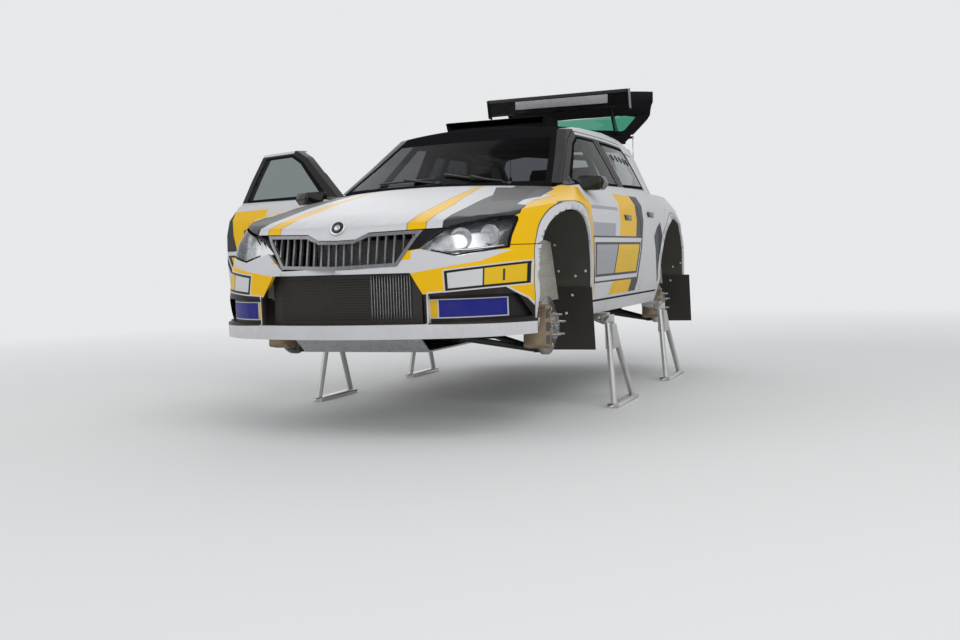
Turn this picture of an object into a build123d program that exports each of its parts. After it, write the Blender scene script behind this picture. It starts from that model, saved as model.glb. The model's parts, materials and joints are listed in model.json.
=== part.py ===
# Rally car: a five-door hatchback shell on four service stands, wheels off, tailgate and one door open.
# Lengths are millimetres. Pieces are drawn in the body frame: y = 0 at the front axle and growing to
# the rear, z = 0 at the road under the wheels, x to the car's left. place() moves them to the row frame.
from build123d import *
from math import atan2, cos, hypot, pi, radians, sin, sqrt, tan
import os

os.makedirs("parts", exist_ok=True)

# Overall
WHEELBASE = 2480
LIFT = 260
HUB_Z = 240
TAIL_Y = 3150

# Shell
SKIN = 26
WALL = 80
POST = 36
ROOF_WALL = 28
GLASS = 6
SEAM = 6
FIT = 0.3
SILL_BOTTOM = 265
SILL_TOP = 335
DOOR_BASE = SILL_TOP + SEAM

# Wheel arches
ARCH_R = 400
ARCH_Z = 430
ARCH_FOOT = 215
LINER = 5
LINER_INNER_X = (470, 480)
LINER_EDGE = 12

# Doors: where they start and how far they swing
DOOR_Y = 500
REAR_DOOR_Y = 1557
DOOR_GAP = 9
HINGE_X = 885
DOOR_SWING = 65
DOOR_LEAN = 0.34
HINGE_Z = ((420, 470), (740, 790))
POST_LEAF_X = (773.6, 778.4)
POST_A_Y = (452, 488)
STRAP_Z = 600
STRAP_R = (66, 74)
STRAP_HALF = 8

# Bonnet
BONNET_SKIN = 18
LEDGE = 8

# Tailgate
GATE_HINGE = (2743, 1405)
GATE_SWING = 98
BARREL_R = 5
BARREL_X = (64, 90, 116)

# Steering
KINGPIN_LOW = (700, 120)
KINGPIN_TOP = (600, 820)
ARM_Y = 130
ARM_TIP_X = 636
RACK_Z = 214
RACK_R = 9

# Hubs
HUB_FACE = 800
FLANGE_R = 72
STUD_PCD = 112
STUD_R = 6
STUD_COUNT = 5
SPIGOT_R = 28.5
SPIGOT_LENGTH = 12
STUD_LENGTH = 38
RIGHT_PHASE = pi / 5
DISC_R = 150
DISC_THICK = 26
DISC_X = 748
BEARING_R = 25
JOINT_R = 30
BALL_TOP = 136
SPRING_TOP = 760

# Front frame, radiator and floor
RADIATOR = ((-400, 400), (-742, -692), (262, 570))
LEG_X = (400, 469.7)
LEG_Z = (420, 520)
TOWER_Z = 838
TOWER_PLATE = 12
TOWER_HALF = 75
BULKHEAD_Y = (452, 470)
BULKHEAD_X = 740
FLOOR_Z = (288, 308)
REAR_FLOOR_Z = (400, 420)
KICK_Y = (2022, 2040)

# Stands
STAND_Y = (770, 2080)
STAND_HEAD_BACK = 90
STAND_FOOT_X = 945
STAND_HEAD_X = 893
STAND_FOOT = 460
STAND_PAD = 64
CENTRE_Y = sum(STAND_Y) / 2

# Front clip in plan, from low to high: height, nose y, end of the front arc x, y, middle of the corner
# x, y, end of the corner x, y, half width over the axle, half width at the door
CLIP = (
    (205, -846, 560, -752, 735, -620, 842, -448, 900, 835),
    (420, -852, 560, -757, 738, -622, 850, -448, 912, 868),
    (560, -838, 555, -742, 730, -608, 842, -440, 914, 874),
    (700, -818, 540, -715, 700, -585, 812, -410, 912, 873),
    (800, -780, 500, -670, 655, -540, 775, -370, 910, 866),
    (870, -720, 460, -600, 620, -470, 745, -310, 905, 852),
    (960, -560, 400, -450, 540, -350, 660, -200, 735, 796),
    (1060, -400, 300, -350, 420, -250, 560, -100, 600, 750),
)
CLIP_BACK = DOOR_Y - 10

# Top of the front clip: y, height on the centre line, drop at CROWN_X
CROWN = ((-950, 715, 38), (-600, 825, 38), (-200, 915, 40), (150, 985, 44), (560, 1052, 48))
CROWN_X = 650

# Cabin below the windows, in plan: height, half width at the doors, over the rear axle, behind the
# arch, tail corner x, y, end of the tail arc x, y, tail y
CABIN = (
    (265, 835, 898, 842, 800, 3040, 600, 3098, TAIL_Y - 12),
    (420, 868, 912, 866, 812, 3048, 605, 3112, TAIL_Y),
    (620, 876, 914, 870, 812, 3046, 605, 3108, TAIL_Y - 4),
    (800, 868, 906, 852, 792, 3030, 598, 3085, TAIL_Y - 32),
    (900, 845, 866, 815, 758, 3000, 585, 3055, TAIL_Y - 64),
    (1000, 772, 774, 732, 688, 2950, 558, 3000, TAIL_Y - 118),
)
FLARE_START = 2040
FLARE_END = WHEELBASE + 430

# Greenhouse in plan: height, glass y on the centre line, front corner x, y, half width in the middle,
# rear corner x, y, end of the tail arc x, y, tail y
GREENHOUSE = (
    (940, 150, 705, 395, 790, 715, 2640, 600, 2975, 3035),
    (1170, 612, 624, 772, 680, 606, 2668, 522, 2882, 2925),
    (1370, 985, 548, 1075, 575, 508, 2690, 452, 2800, 2835),
    (1470, 1180, 505, 1240, 520, 462, 2700, 415, 2750, 2785),
)
MIDDLE_Y = 1500

# Roof: y, height on the centre line, drop at ROOF_X
ROOF = (
    (50, 1340, 45), (850, 1376, 45), (1300, 1434, 48), (1800, 1450, 50), (2300, 1437, 48), (2950, 1382, 44),
)
ROOF_X = 550

# Outlines. Front view x, z for the left half, side view y, z for the left side.
GRILLE_TOP = ((0, 697), (95, 700), (160, 729), (418, 737))
GRILLE_LOW = ((308, 572), (0, 562))
GRILLE_RIM = 16
SLATS = 19
SLAT_WIDTH = 9
SLAT_PITCH = 41
SLAT_DEEP = 6
SLAT_DEPTH = 20
LAMP_DEPTH = 70
LAMP_FLANGE = 9
LAMP = ((405, 652), (512, 739), (680, 785), (758, 791), (764, 776), (760, 645), (566, 612))
INTAKE = ((0, 540), (368, 540), (432, 430), (436, 306), (0, 306))
DUCT = ((448, 430), (800, 430), (846, 318), (452, 306))
BONNET_FRONT = ((0, 700), (100, 703), (165, 733), (500, 744), (680, 792), (765, 800), (1000, 806))
BONNET_PLAN = ((745, -420), (758, -380), (712, 300), (664, 356))
BONNET_BACK = 214
LEDGE_LINE = ((753, -240), (712, 300))
SCUTTLE_X = 690
SCREEN = ((652, 984), (505, 1352))
SCREEN_TOP = 1386
ROOF_PLAN = ((505, 1000), (525, 1700), (468, 2735))

DOOR = (
    (DOOR_Y, DOOR_BASE), (REAR_DOOR_Y - DOOR_GAP, DOOR_BASE), (1560, 985), (1515, 1350),
    (1150, 1350), (1010, 1290), (530, 985), (DOOR_Y, 900),
)
DOOR_WINDOW = ((650, 1012), (1502, 1018), (1470, 1322), (1168, 1322), (1040, 1268))
REAR_DOOR = (
    (REAR_DOOR_Y, DOOR_BASE), (2036, DOOR_BASE), (2062, 620), (2240, 870), (2420, 985),
    (2440, 1040), (2330, 1270), (2230, 1350), (1524, 1350), (1569, 985),
)
REAR_WINDOW = ((1622, 1018), (2378, 1042), (2290, 1262), (2213, 1322), (1582, 1322))
GATE_OUTER = ((540, 612), (602, 960), (500, 1352), (500, 1480))
GATE_INNER = ((520, 640), (566, 960), (466, 1352), (466, 1480))
GATE_WINDOW = ((505, 1000), (445, 1290))
TAIL_LAMP = ((640, 715), (900, 715), (900, 905), (668, 905))
BUMPER_TOP = 604
TAIL_PIPE = (330, 285)
POST_LINE = (
    (775, 308.3), (775, 333), (757, 338), (784, 560), (776, 800), (750, 900), (725, 940), (714, 1000),
    (632, 1170), (540, 1350), (556, 1360), (556, 1368),
)
POST_DEPTH = 36
POST_Y = (1500, 1575)
LIP = (235, 306)


def unit(a, b):
    """The unit vector from a to b."""
    length = hypot(b[0] - a[0], b[1] - a[1])
    return ((b[0] - a[0]) / length, (b[1] - a[1]) / length)


def outline(points, to_space, corner=0):
    """A face through flat points, its corners rounded, set in space by to_space."""
    if not corner:
        return Face(Wire.make_polygon([Vector(*to_space(*p)) for p in points], close=True))
    edges = []
    tangents = []
    for i, here in enumerate(points):
        back = unit(here, points[i - 1])
        on = unit(here, points[(i + 1) % len(points)])
        half = 0.5 * abs(atan2(back[0] * on[1] - back[1] * on[0], back[0] * on[0] + back[1] * on[1]))
        reach = corner / tan(half)
        middle = (back[0] + on[0], back[1] + on[1])
        depth = (corner / sin(half) - corner) / hypot(*middle)
        first = (here[0] + back[0] * reach, here[1] + back[1] * reach)
        last = (here[0] + on[0] * reach, here[1] + on[1] * reach)
        crest = (here[0] + middle[0] * depth, here[1] + middle[1] * depth)
        edges.append(ThreePointArc(to_space(*first), to_space(*crest), to_space(*last)))
        tangents.append((first, last))
    for i, (first, last) in enumerate(tangents):
        following = tangents[(i + 1) % len(tangents)][0]
        edges.append(Line(to_space(*last), to_space(*following)))
    return Face(Wire(edges))


def along_x(points, start, end, lean=0, corner=0):
    """A prism of a side view y, z, whose far end is lean times as far forward as it is inboard."""
    face = outline(points, lambda y, z: (start, y, z), corner)
    return Solid.extrude(face, Vector(end - start, -lean * abs(end - start), 0))


def along_y(points, start, end, corner=0):
    """A prism of a front view x, z."""
    return Solid.extrude(outline(points, lambda x, z: (x, start, z), corner), Vector(0, end - start, 0))


def along_z(points, start, end, corner=0):
    """A prism of a plan x, y."""
    return Solid.extrude(outline(points, lambda x, y: (x, y, start), corner), Vector(0, 0, end - start))


def block(x, y, z):
    """A box between pairs of limits."""
    size = Box(x[1] - x[0], y[1] - y[0], z[1] - z[0])
    return Pos((x[0] + x[1]) / 2, (y[0] + y[1]) / 2, (z[0] + z[1]) / 2) * size


def bar(start, end, radius):
    """A round bar from point to point."""
    run = Vector(*end) - Vector(*start)
    return Plane(origin=start, z_dir=run) * Cylinder(
        radius, run.length, align=(Align.CENTER, Align.CENTER, Align.MIN))


def both_sides(points):
    """A closed outline from its left half, which starts and ends on the centre line or beside it."""
    right = [(-x, z) for x, z in reversed(points) if x]
    return [*points, *right]


def grown(points, margin):
    """An outline moved outwards by a margin all round."""
    area = sum(a[0] * b[1] - b[0] * a[1] for a, b in zip(points, [*points[1:], points[0]]))
    turn = 1 if area > 0 else -1
    moved = []
    for i, here in enumerate(points):
        back = unit(points[i - 1], here)
        on = unit(here, points[(i + 1) % len(points)])
        normals = ((turn * back[1], -turn * back[0]), (turn * on[1], -turn * on[0]))
        share = 1 + normals[0][0] * normals[1][0] + normals[0][1] * normals[1][1]
        moved.append((
            here[0] + margin * (normals[0][0] + normals[1][0]) / share,
            here[1] + margin * (normals[0][1] + normals[1][1]) / share))
    return moved


def biggest(shape):
    """The largest solid of a cut shape."""
    return max(shape.solids(), key=lambda solid: solid.volume)


def mirrored(shape):
    """The same piece on the car's right."""
    return mirror(shape, about=Plane.YZ)


def pair(shape):
    """A piece on the left and its mirror image, which don't touch."""
    return Compound([*shape.solids(), *mirrored(shape).solids()])


def place(shape):
    """From the body frame to the row frame."""
    return Pos(0, -CENTRE_Y, LIFT) * shape


def save(name, shape):
    """Writes one node."""
    solids = shape.solids()
    whole = solids[0] if len(solids) == 1 else Compound(solids)
    export_step(place(whole), f"parts/{name}.step")


def clip_section(row, inset, back):
    """One plan section of the front clip."""
    z, nose, x1, y1, x2, y2, x3, y3, axle, door = row
    slant = 0.7 * inset
    start = (x1, y1 + inset, z)
    crest = (x2 - slant, y2 + slant, z)
    end = (x3 - inset, y3 + 0.4 * inset, z)
    over = (axle - inset, -20, z)
    last = (door - inset, CLIP_BACK, z)
    beyond = (door - inset, back, z)

    def flip(p):
        return (-p[0], p[1], p[2])

    return Face(Wire([
        ThreePointArc(flip(start), (0, nose + inset, z), start),
        ThreePointArc(start, crest, end),
        ThreePointArc(end, over, last),
        Line(last, beyond), Line(beyond, flip(beyond)), Line(flip(beyond), flip(last)),
        ThreePointArc(flip(last), flip(over), flip(end)),
        ThreePointArc(flip(end), flip(crest), flip(start)),
    ]))


def arc_through(a, b, c, x):
    """The lower y of the circle through three plan points at x."""
    d = 2 * (a[0] * (b[1] - c[1]) + b[0] * (c[1] - a[1]) + c[0] * (a[1] - b[1]))
    squares = [p[0] ** 2 + p[1] ** 2 for p in (a, b, c)]
    cx = (squares[0] * (b[1] - c[1]) + squares[1] * (c[1] - a[1]) + squares[2] * (a[1] - b[1])) / d
    cy = (squares[0] * (c[0] - b[0]) + squares[1] * (a[0] - c[0]) + squares[2] * (b[0] - a[0])) / d
    return cy - sqrt(hypot(a[0] - cx, a[1] - cy) ** 2 - (x - cx) ** 2)


def nose_y(x, z):
    """The y of the front clip's nose at a place seen from the front."""
    for low, high in zip(CLIP[:-1], CLIP[1:]):
        if z <= high[0]:
            share = (z - low[0]) / (high[0] - low[0])
            ends = [arc_through((-r[2], r[3]), (0, r[1]), (r[2], r[3]), x) for r in (low, high)]
            return ends[0] + share * (ends[1] - ends[0])
    return CLIP[-1][1]


def between(points, x):
    """The height of a line of points at x."""
    for a, b in zip(points[:-1], points[1:]):
        if a[0] <= x <= b[0]:
            return a[1] + (b[1] - a[1]) * (x - a[0]) / (b[0] - a[0])
    return points[-1][1]


def slat_ends(x):
    """The low and high ends of the grille slat at x, sunk into the rim."""
    low = between([*reversed(GRILLE_LOW), GRILLE_TOP[-1]], x)
    return low + GRILLE_RIM / 2, between(GRILLE_TOP, x) - GRILLE_RIM / 2


def crowned(rows, width_at, lower, reach=1100):
    """The space under a crowned top, whose rows are y, height and drop at width_at."""
    sections = []
    for y, height, drop in rows:
        top = height - lower
        edge = top - drop * (reach / width_at) ** 2
        sections.append(Face(Wire([
            ThreePointArc((-reach, y, edge), (0, y, top), (reach, y, edge)),
            Line((reach, y, edge), (reach, y, -100)),
            Line((reach, y, -100), (-reach, y, -100)),
            Line((-reach, y, -100), (-reach, y, edge)),
        ])))
    return loft(sections, ruled=True)


def clip(inset, lower=None, back=CLIP_BACK + 100, base=None):
    """The front clip as a solid, drawn in by inset and lowered by lower."""
    rows = [clip_section(row, inset, back) for row in CLIP]
    if base is not None:
        rows[0] = clip_section((base, *CLIP[0][1:]), inset, back)
    return loft(rows, ruled=True) & crowned(CROWN, CROWN_X, inset if lower is None else lower)


def cabin_section(row, inset, front):
    """One plan section of the cabin below the windows."""
    z, door, flare, end, cx, cy, tx, ty, tail = row
    slant = 0.7 * inset
    a = (door - inset, front, z)
    b = (door - inset, FLARE_START, z)
    c = (flare - inset, WHEELBASE, z)
    d = (end - inset, FLARE_END, z)
    e = (cx - slant, cy - slant, z)
    f = (tx, ty - inset, z)

    def flip(p):
        return (-p[0], p[1], p[2])

    return Face(Wire([
        Line(flip(a), a), Line(a, b), ThreePointArc(b, c, d), ThreePointArc(d, e, f),
        ThreePointArc(f, (0, tail - inset, z), flip(f)),
        ThreePointArc(flip(f), flip(e), flip(d)), ThreePointArc(flip(d), flip(c), flip(b)),
        Line(flip(b), flip(a)),
    ]))


def greenhouse_section(row, inset):
    """One plan section of the windows and posts."""
    z, screen, ax, ay, middle, rx, ry, tx, ty, tail = row
    a = (ax - inset, ay + 0.5 * inset, z)
    m = (middle - inset, MIDDLE_Y, z)
    r = (rx - inset, ry, z)
    t = (tx - 0.5 * inset, ty - inset, z)
    e = ((rx + tx) / 2 + 22 - inset, (ry + ty) / 2 + 18 - 0.5 * inset, z)

    def flip(p):
        return (-p[0], p[1], p[2])

    return Face(Wire([
        ThreePointArc(flip(a), (0, screen + inset, z), a),
        ThreePointArc(a, m, r), ThreePointArc(r, e, t),
        ThreePointArc(t, (0, tail - inset, z), flip(t)),
        ThreePointArc(flip(t), flip(e), flip(r)), ThreePointArc(flip(r), flip(m), flip(a)),
    ]))


def greenhouse(inset, lower=None):
    """The space inside the windows and roof."""
    body = loft([greenhouse_section(row, inset) for row in GREENHOUSE], ruled=True)
    return body & crowned(ROOF, ROOF_X, inset if lower is None else lower)


def lower_cabin(inset, base=None, front=CLIP_BACK + 4):
    """The cabin below the windows as a solid."""
    rows = [cabin_section(row, inset, front) for row in CABIN]
    if base is not None:
        rows[0] = cabin_section((base, *CABIN[0][1:]), inset, front)
    return loft(rows, ruled=True)


def arch(y, margin, start, end):
    """The space in a wheel arch, grown by a margin."""
    reach = ARCH_R + margin
    sides = ((y - reach - 62, ARCH_FOOT - 60), (y - reach, ARCH_Z), (y, ARCH_Z + reach),
             (y + reach, ARCH_Z), (y + reach + 36, ARCH_FOOT - 60))
    low_front, front, top, rear, low_rear = [(start, *p) for p in sides]
    face = Face(Wire([
        Line(low_front, front), ThreePointArc(front, top, rear), Line(rear, low_rear),
        Line(low_rear, low_front)]))
    return Solid.extrude(face, Vector(end - start, 0, 0))


# The hulls that the panels are cut from
clip_outer = clip(0) & block((-1000, 1000), (-1000, CLIP_BACK), (150, 1200))
clip_inner = clip(SKIN, BONNET_SKIN, back=CLIP_BACK + 200, base=150)
glasshouse = greenhouse(0)
cabin_outer = lower_cabin(0) + glasshouse
cabin_inner = lower_cabin(WALL, front=CLIP_BACK - 200) + greenhouse(POST, ROOF_WALL)
arch_cuts = [arch(y, 0, 300, 1000) for y in (0, WHEELBASE)]

# Prisms for the openings
grille_hole = both_sides([*GRILLE_TOP, *GRILLE_LOW])
lamp_prism = along_y(LAMP, -900, -250)
lamp_gap = along_y(grown(LAMP, 3), -900, -250)
bonnet_zone = along_y(both_sides([*BONNET_FRONT, (1000, 1200), (0, 1200)]), -1000, 600)
bonnet_gap = along_y(both_sides([*[(x, z - SEAM) for x, z in BONNET_FRONT], (1000, 1200), (0, 1200)]),
                     -1000, 600)


def bonnet_plan(margin):
    """The bonnet's plan, with a curved rear edge."""
    right = [(-x, y) for x, y in BONNET_PLAN]
    edge = [(x + margin, y) for x, y in BONNET_PLAN]
    far = [(x - margin, y) for x, y in right]
    front = -1000
    points = [(-edge[0][0], front), (edge[0][0], front), *edge]
    wire = [Line((*a, 0), (*b, 0)) for a, b in zip(points[:-1], points[1:])]
    last = (edge[-1][0], edge[-1][1] + margin, 0)
    wire.append(Line((*points[-1], 0), last) if margin else None)
    wire = [edge_ for edge_ in wire if edge_]
    wire.append(ThreePointArc(last, (0, BONNET_BACK + margin, 0), (-last[0], last[1], 0)))
    if margin:
        wire.append(Line((-last[0], last[1], 0), (*far[-1], 0)))
    back = [*reversed(far), (-edge[0][0], front)]
    wire += [Line((*a, 0), (*b, 0)) for a, b in zip(back[:-1], back[1:])]
    return Solid.extrude(Face(Wire(wire)), Vector(0, 0, 1500))


bonnet = biggest((clip_outer & bonnet_zone & bonnet_plan(0)) - clip_inner)
under_bonnet = bonnet_gap & bonnet_plan(SEAM)
save("bonnet", bonnet)

# Front bumper with its lip, intake and ducts
bumper_zone = [(900, 300), (900, 655), (575, 655), (540, 760), (0, 760), (0, 300)]
bumper = (clip_outer & along_y(both_sides(bumper_zone), -1000, -180)) - clip_inner
lip = (clip(-14, 0) & block((-1000, 1000), (-1000, -180), LIP)) - clip(46, 0, base=150)
front_bumper = bumper + lip
for cut in (
    along_y(both_sides([*GRILLE_TOP, *GRILLE_LOW]), -1000, -600),
    along_y(both_sides(INTAKE), -1000, -500),
    along_y(DUCT, -1000, -400), mirrored(along_y(DUCT, -1000, -400)),
    lamp_gap, mirrored(lamp_gap), under_bonnet, arch_cuts[0], mirrored(arch_cuts[0]),
):
    front_bumper = front_bumper - cut
save("front_bumper", biggest(front_bumper))

# Black panels behind the side ducts
duct_zone = along_y(grown(DUCT, 12), -1000, -300) & block((0, 1000), (-1000, 0), (LIP[1] + FIT, 1000))
duct_panel = (clip(SKIN + FIT, 0) & duct_zone) - clip(SKIN + LEDGE, 0, base=150) - arch_cuts[0]
save("duct_panels", pair(biggest(duct_panel)))

# Grille: a rim and upright slats
rim_zone = along_y(grown(grille_hole, -FIT), -1000, -600)
rim_zone = rim_zone - along_y(grown(grille_hole, -GRILLE_RIM), -1100, -500)
grille = (clip(-3, 0) & rim_zone) - clip(SKIN, 0, base=150)
for i in range(SLATS):
    x = (i - (SLATS - 1) / 2) * SLAT_PITCH
    low, high = slat_ends(abs(x))
    front = [(nose_y(x, z) + SLAT_DEEP, z) for z in (low, high)]
    back = [(y + SLAT_DEPTH, z) for y, z in reversed(front)]
    grille = grille + along_x([*front, *back], x - SLAT_WIDTH / 2, x + SLAT_WIDTH / 2)
save("grille", grille)

# Headlamps
lamp_inner = clip(LAMP_DEPTH, LAMP_DEPTH, back=CLIP_BACK + 200, base=150)
lamp = (clip_outer & lamp_prism) - lamp_inner
lamp_flange = clip(SKIN + FIT, BONNET_SKIN + FIT) & along_y(grown(LAMP, LAMP_FLANGE), -900, -250)
lamp_flange = lamp_flange - lamp_inner
save("headlamps", pair(biggest(lamp + lamp_flange - arch_cuts[0])))

# Front fenders
fender_zone = block((560, 1000), (-620, CLIP_BACK + 100), (285, 1200))
fender = (clip_outer & fender_zone) - clip_inner
for cut in (along_y(grown(bumper_zone[:5] + [(0, 300)], 4), -1000, -180 + 4), lamp_gap, under_bonnet,
            arch_cuts[0], greenhouse(-3, 0), block((0, SCUTTLE_X + FIT), (200, 700), (700, 1200))):
    fender = fender - cut


def ledge_plan(inner, outer):
    """A strip along the bonnet's edge, as wide as its two offsets from that edge allow."""
    strip = [(x + outer, y) for x, y in LEDGE_LINE] + [(x + inner, y) for x, y in reversed(LEDGE_LINE)]
    return along_z(strip, 700, 1100)


ledge = clip(0, BONNET_SKIN + FIT) & ledge_plan(-28, 14)
ledge = ledge + (clip(0, BONNET_SKIN / 2) & ledge_plan(SEAM + 3, 14))
ledge = ledge - clip(-2, BONNET_SKIN + LEDGE, base=150)
fender = biggest(fender) + ledge
save("fender_left", fender)
save("fender_right", mirrored(fender))

# Radiator behind the intake, and the front frame: legs, cross member and strut towers
save("radiator", block(*RADIATOR))
frame_front = RADIATOR[1][1] + FIT
half_frame = block(LEG_X, (frame_front + 40, BULKHEAD_Y[0] - FIT), LEG_Z)
half_frame = half_frame + block(LEG_X, (-TOWER_HALF, TOWER_HALF), (LEG_Z[1] - 1, TOWER_Z + TOWER_PLATE))
half_frame = half_frame + block((LEG_X[0], 690), (-TOWER_HALF, TOWER_HALF), (TOWER_Z, TOWER_Z + TOWER_PLATE))
cross_member = block((-LEG_X[1], LEG_X[1]), (frame_front, frame_front + 42), (LEG_Z[0] + 10, LEG_Z[1] - 20))
save("front_frame", half_frame + mirrored(half_frame) + cross_member)

# Scuttle panel between bonnet and windscreen
scuttle = (crowned(CROWN, CROWN_X, 6) & block((-SCUTTLE_X, SCUTTLE_X), (190, 520), (850, 1100)))
scuttle = scuttle - crowned(CROWN, CROWN_X, 20)
scuttle = scuttle - bonnet_plan(SEAM) - greenhouse(-0.5, 0)
save("scuttle", biggest(scuttle))

# Floor and bulkhead
FLOOR_X = 759.5
floor = block((-FLOOR_X, FLOOR_X), (BULKHEAD_Y[0], KICK_Y[1]), FLOOR_Z)
kick_up = block((-745, 745), KICK_Y, (FLOOR_Z[0], REAR_FLOOR_Z[1]))
rear_edge = [
    (LINER_INNER_X[1] - FIT, KICK_Y[1] - 1), (LINER_INNER_X[1] - FIT, 2892),
    (690, 2896), (690, 2980), (590, 3020),
]
rear_floor = along_z([*rear_edge, *[(-x, y) for x, y in reversed(rear_edge)]], *REAR_FLOOR_Z)
bulkhead = block((-BULKHEAD_X, BULKHEAD_X), BULKHEAD_Y, (FLOOR_Z[1] - 8, 940))
tunnel = along_y([(-130, 304), (-90, 430), (90, 430), (130, 304)], BULKHEAD_Y[1] - 2, KICK_Y[0] + 2)
tunnel_space = along_y([(-112, 280), (-76, 414), (76, 414), (112, 280)], BULKHEAD_Y[0] - 20, KICK_Y[1] + 1)
save("floor_pan", (floor + kick_up + bulkhead + tunnel) - tunnel_space + rear_floor)

# Windscreen zone, seen from the front, and roof zone, seen from above
screen_zone = both_sides([(0, SCREEN_TOP), (SCREEN[1][0] * 0.55, SCREEN_TOP - 9), *reversed(SCREEN),
                          (0, SCREEN[0][1] - 10)])
screen_cut = along_y(screen_zone, 0, 1110)
screen_hole = along_y(grown(screen_zone, FIT), 0, 1110)
roof_zone = along_z(both_sides(ROOF_PLAN), 1300, 1600)
roof_gap = along_z(grown(both_sides(ROOF_PLAN), FIT), 1300, 1600)

# Doors and the openings they leave, cut by prisms whose outlines are true at the skin
PRISM_X = (1000, 380)
SKIN_LINE = [(row[0], row[1]) for row in CABIN] + [(row[0], row[4]) for row in GREENHOUSE[1:]]


def door_prism(points, corner=0):
    """A cutter whose faces run forward as they run inboard, as the doors need to swing clear."""
    shifted = [(y + DOOR_LEAN * (PRISM_X[0] - between(SKIN_LINE, z)), z) for y, z in points]
    return along_x(shifted, *PRISM_X, DOOR_LEAN, corner)


door_cut, door_hole = door_prism(DOOR), door_prism(grown(DOOR, SEAM))
rear_door_cut, rear_door_hole = door_prism(REAR_DOOR), door_prism(grown(REAR_DOOR, SEAM))
window_cut, rear_window_cut = door_prism(DOOR_WINDOW, 22), door_prism(REAR_WINDOW, 22)
left_shell = (cabin_outer & block((200, 1000), (300, 3300), (200, 1600))) - cabin_inner
left_shell = left_shell - screen_hole - roof_gap


def strap(inner, outer, half, start, end):
    """A curved check strap about the hinge of the left front door, from angle to angle inboard of it."""
    low, high = (radians(180 - angle) for angle in (start, end))
    middle = (low + high) / 2

    def at(radius, angle):
        return (HINGE_X + radius * cos(angle), DOOR_Y - 1 + radius * sin(angle), STRAP_Z - half)

    face = Face(Wire([
        ThreePointArc(at(inner, low), at(inner, middle), at(inner, high)),
        Line(at(inner, high), at(outer, high)),
        ThreePointArc(at(outer, high), at(outer, middle), at(outer, low)),
        Line(at(outer, low), at(inner, low))]))
    return Solid.extrude(face, Vector(0, 0, 2 * half))


front_leaf = [block((800, 835), (POST_A_Y[1] + FIT, CLIP_BACK + 8), z) for z in HINGE_Z]
rear_leaf = [block((POST_LEAF_X[i] + FIT, 806), (1558, 1574), z) for i, z in enumerate(HINGE_Z)]
strap_slot = strap(STRAP_R[0] - FIT, STRAP_R[1] + FIT, STRAP_HALF + FIT, -20, 74)
front_door = biggest((left_shell & door_cut) - window_cut - strap_slot)
rear_door = biggest((left_shell & rear_door_cut) - rear_window_cut)
for leaf in front_leaf:
    front_door = front_door + leaf
for leaf in rear_leaf:
    rear_door = rear_door + leaf
doors = {"front": (front_door, window_cut), "rear": (rear_door, rear_window_cut)}


def swung(shape, y, angle):
    """A left door turned open about its hinge."""
    return Pos(HINGE_X, y, 0) * Rot(0, 0, -angle) * Pos(-HINGE_X, -y, 0) * shape


# Mirror on the front door
mirror_arm = block((750, 830), (560, 610), (955, 985))
mirror_head = along_y([(760, 956), (900, 954), (926, 986), (908, 1028), (790, 1036), (756, 1010)],
                      545, 640, corner=14)
door_mirror = mirror_head + (mirror_arm - lower_cabin(0))
door_mirror = door_mirror - doors["front"][0]

for row, y in (("front", DOOR_Y - 1), ("rear", REAR_DOOR_Y - 1)):
    panel, hole = doors[row]
    window_pane = biggest((greenhouse(3, 0) - greenhouse(3 + GLASS, 0)) & hole)
    pieces = {f"door_{row}": panel, f"door_{row}_window": window_pane}
    if row == "front":
        pieces["mirror"] = door_mirror
    for name, piece in pieces.items():
        save(f"{name}_left", piece)
        right = swung(piece, y, DOOR_SWING) if row == "front" else piece
        save(f"{name}_right", mirrored(right))

# Tailgate, its window and the rest of the body sides
gate_y = (GATE_HINGE[0] + 2, 3300)


def rear_taper(outer, inner, start, end):
    """A cutter seen from behind that narrows towards the front."""
    return loft([
        outline(both_sides(inner), lambda x, z: (x, start, z)),
        outline(both_sides(outer), lambda x, z: (x, end, z))], ruled=True)


gate_cut = rear_taper(GATE_OUTER, GATE_INNER, *gate_y)
gate_hole = rear_taper(
    [(x + 8, z) for x, z in GATE_OUTER], [(x + 8, z) for x, z in GATE_INNER], ROOF_PLAN[-1][1], gate_y[1])
gate_hole = gate_hole - block((-900, 900), (2600, 3400), (500, GATE_OUTER[0][1] - SEAM))
gate_hole = gate_hole + block((-548, 548), (2900, 3400), (GATE_OUTER[0][1] - SEAM, 660))
gate_window_cut = along_y(both_sides(GATE_WINDOW), 2600, 3400, corner=40)
gate_blank = biggest((cabin_outer & gate_cut) - cabin_inner)
tailgate = biggest(gate_blank - gate_window_cut)
rear_screen = biggest((greenhouse(3, 0) - greenhouse(3 + GLASS, 0)) & gate_window_cut
                      & block((-900, 900), (2700, 3400), (900, 1400)))

save("windscreen", biggest((glasshouse & screen_cut) - greenhouse(GLASS) - scuttle))


def barrel(start, end, foot):
    """One knuckle of a tailgate hinge with its foot."""
    y, z = GATE_HINGE
    return bar((start, y, z), (end, y, z), BARREL_R) + block(
        (start, end), (y + foot[0], y + foot[1]), (z - 16, z + BARREL_R - 1))


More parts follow.
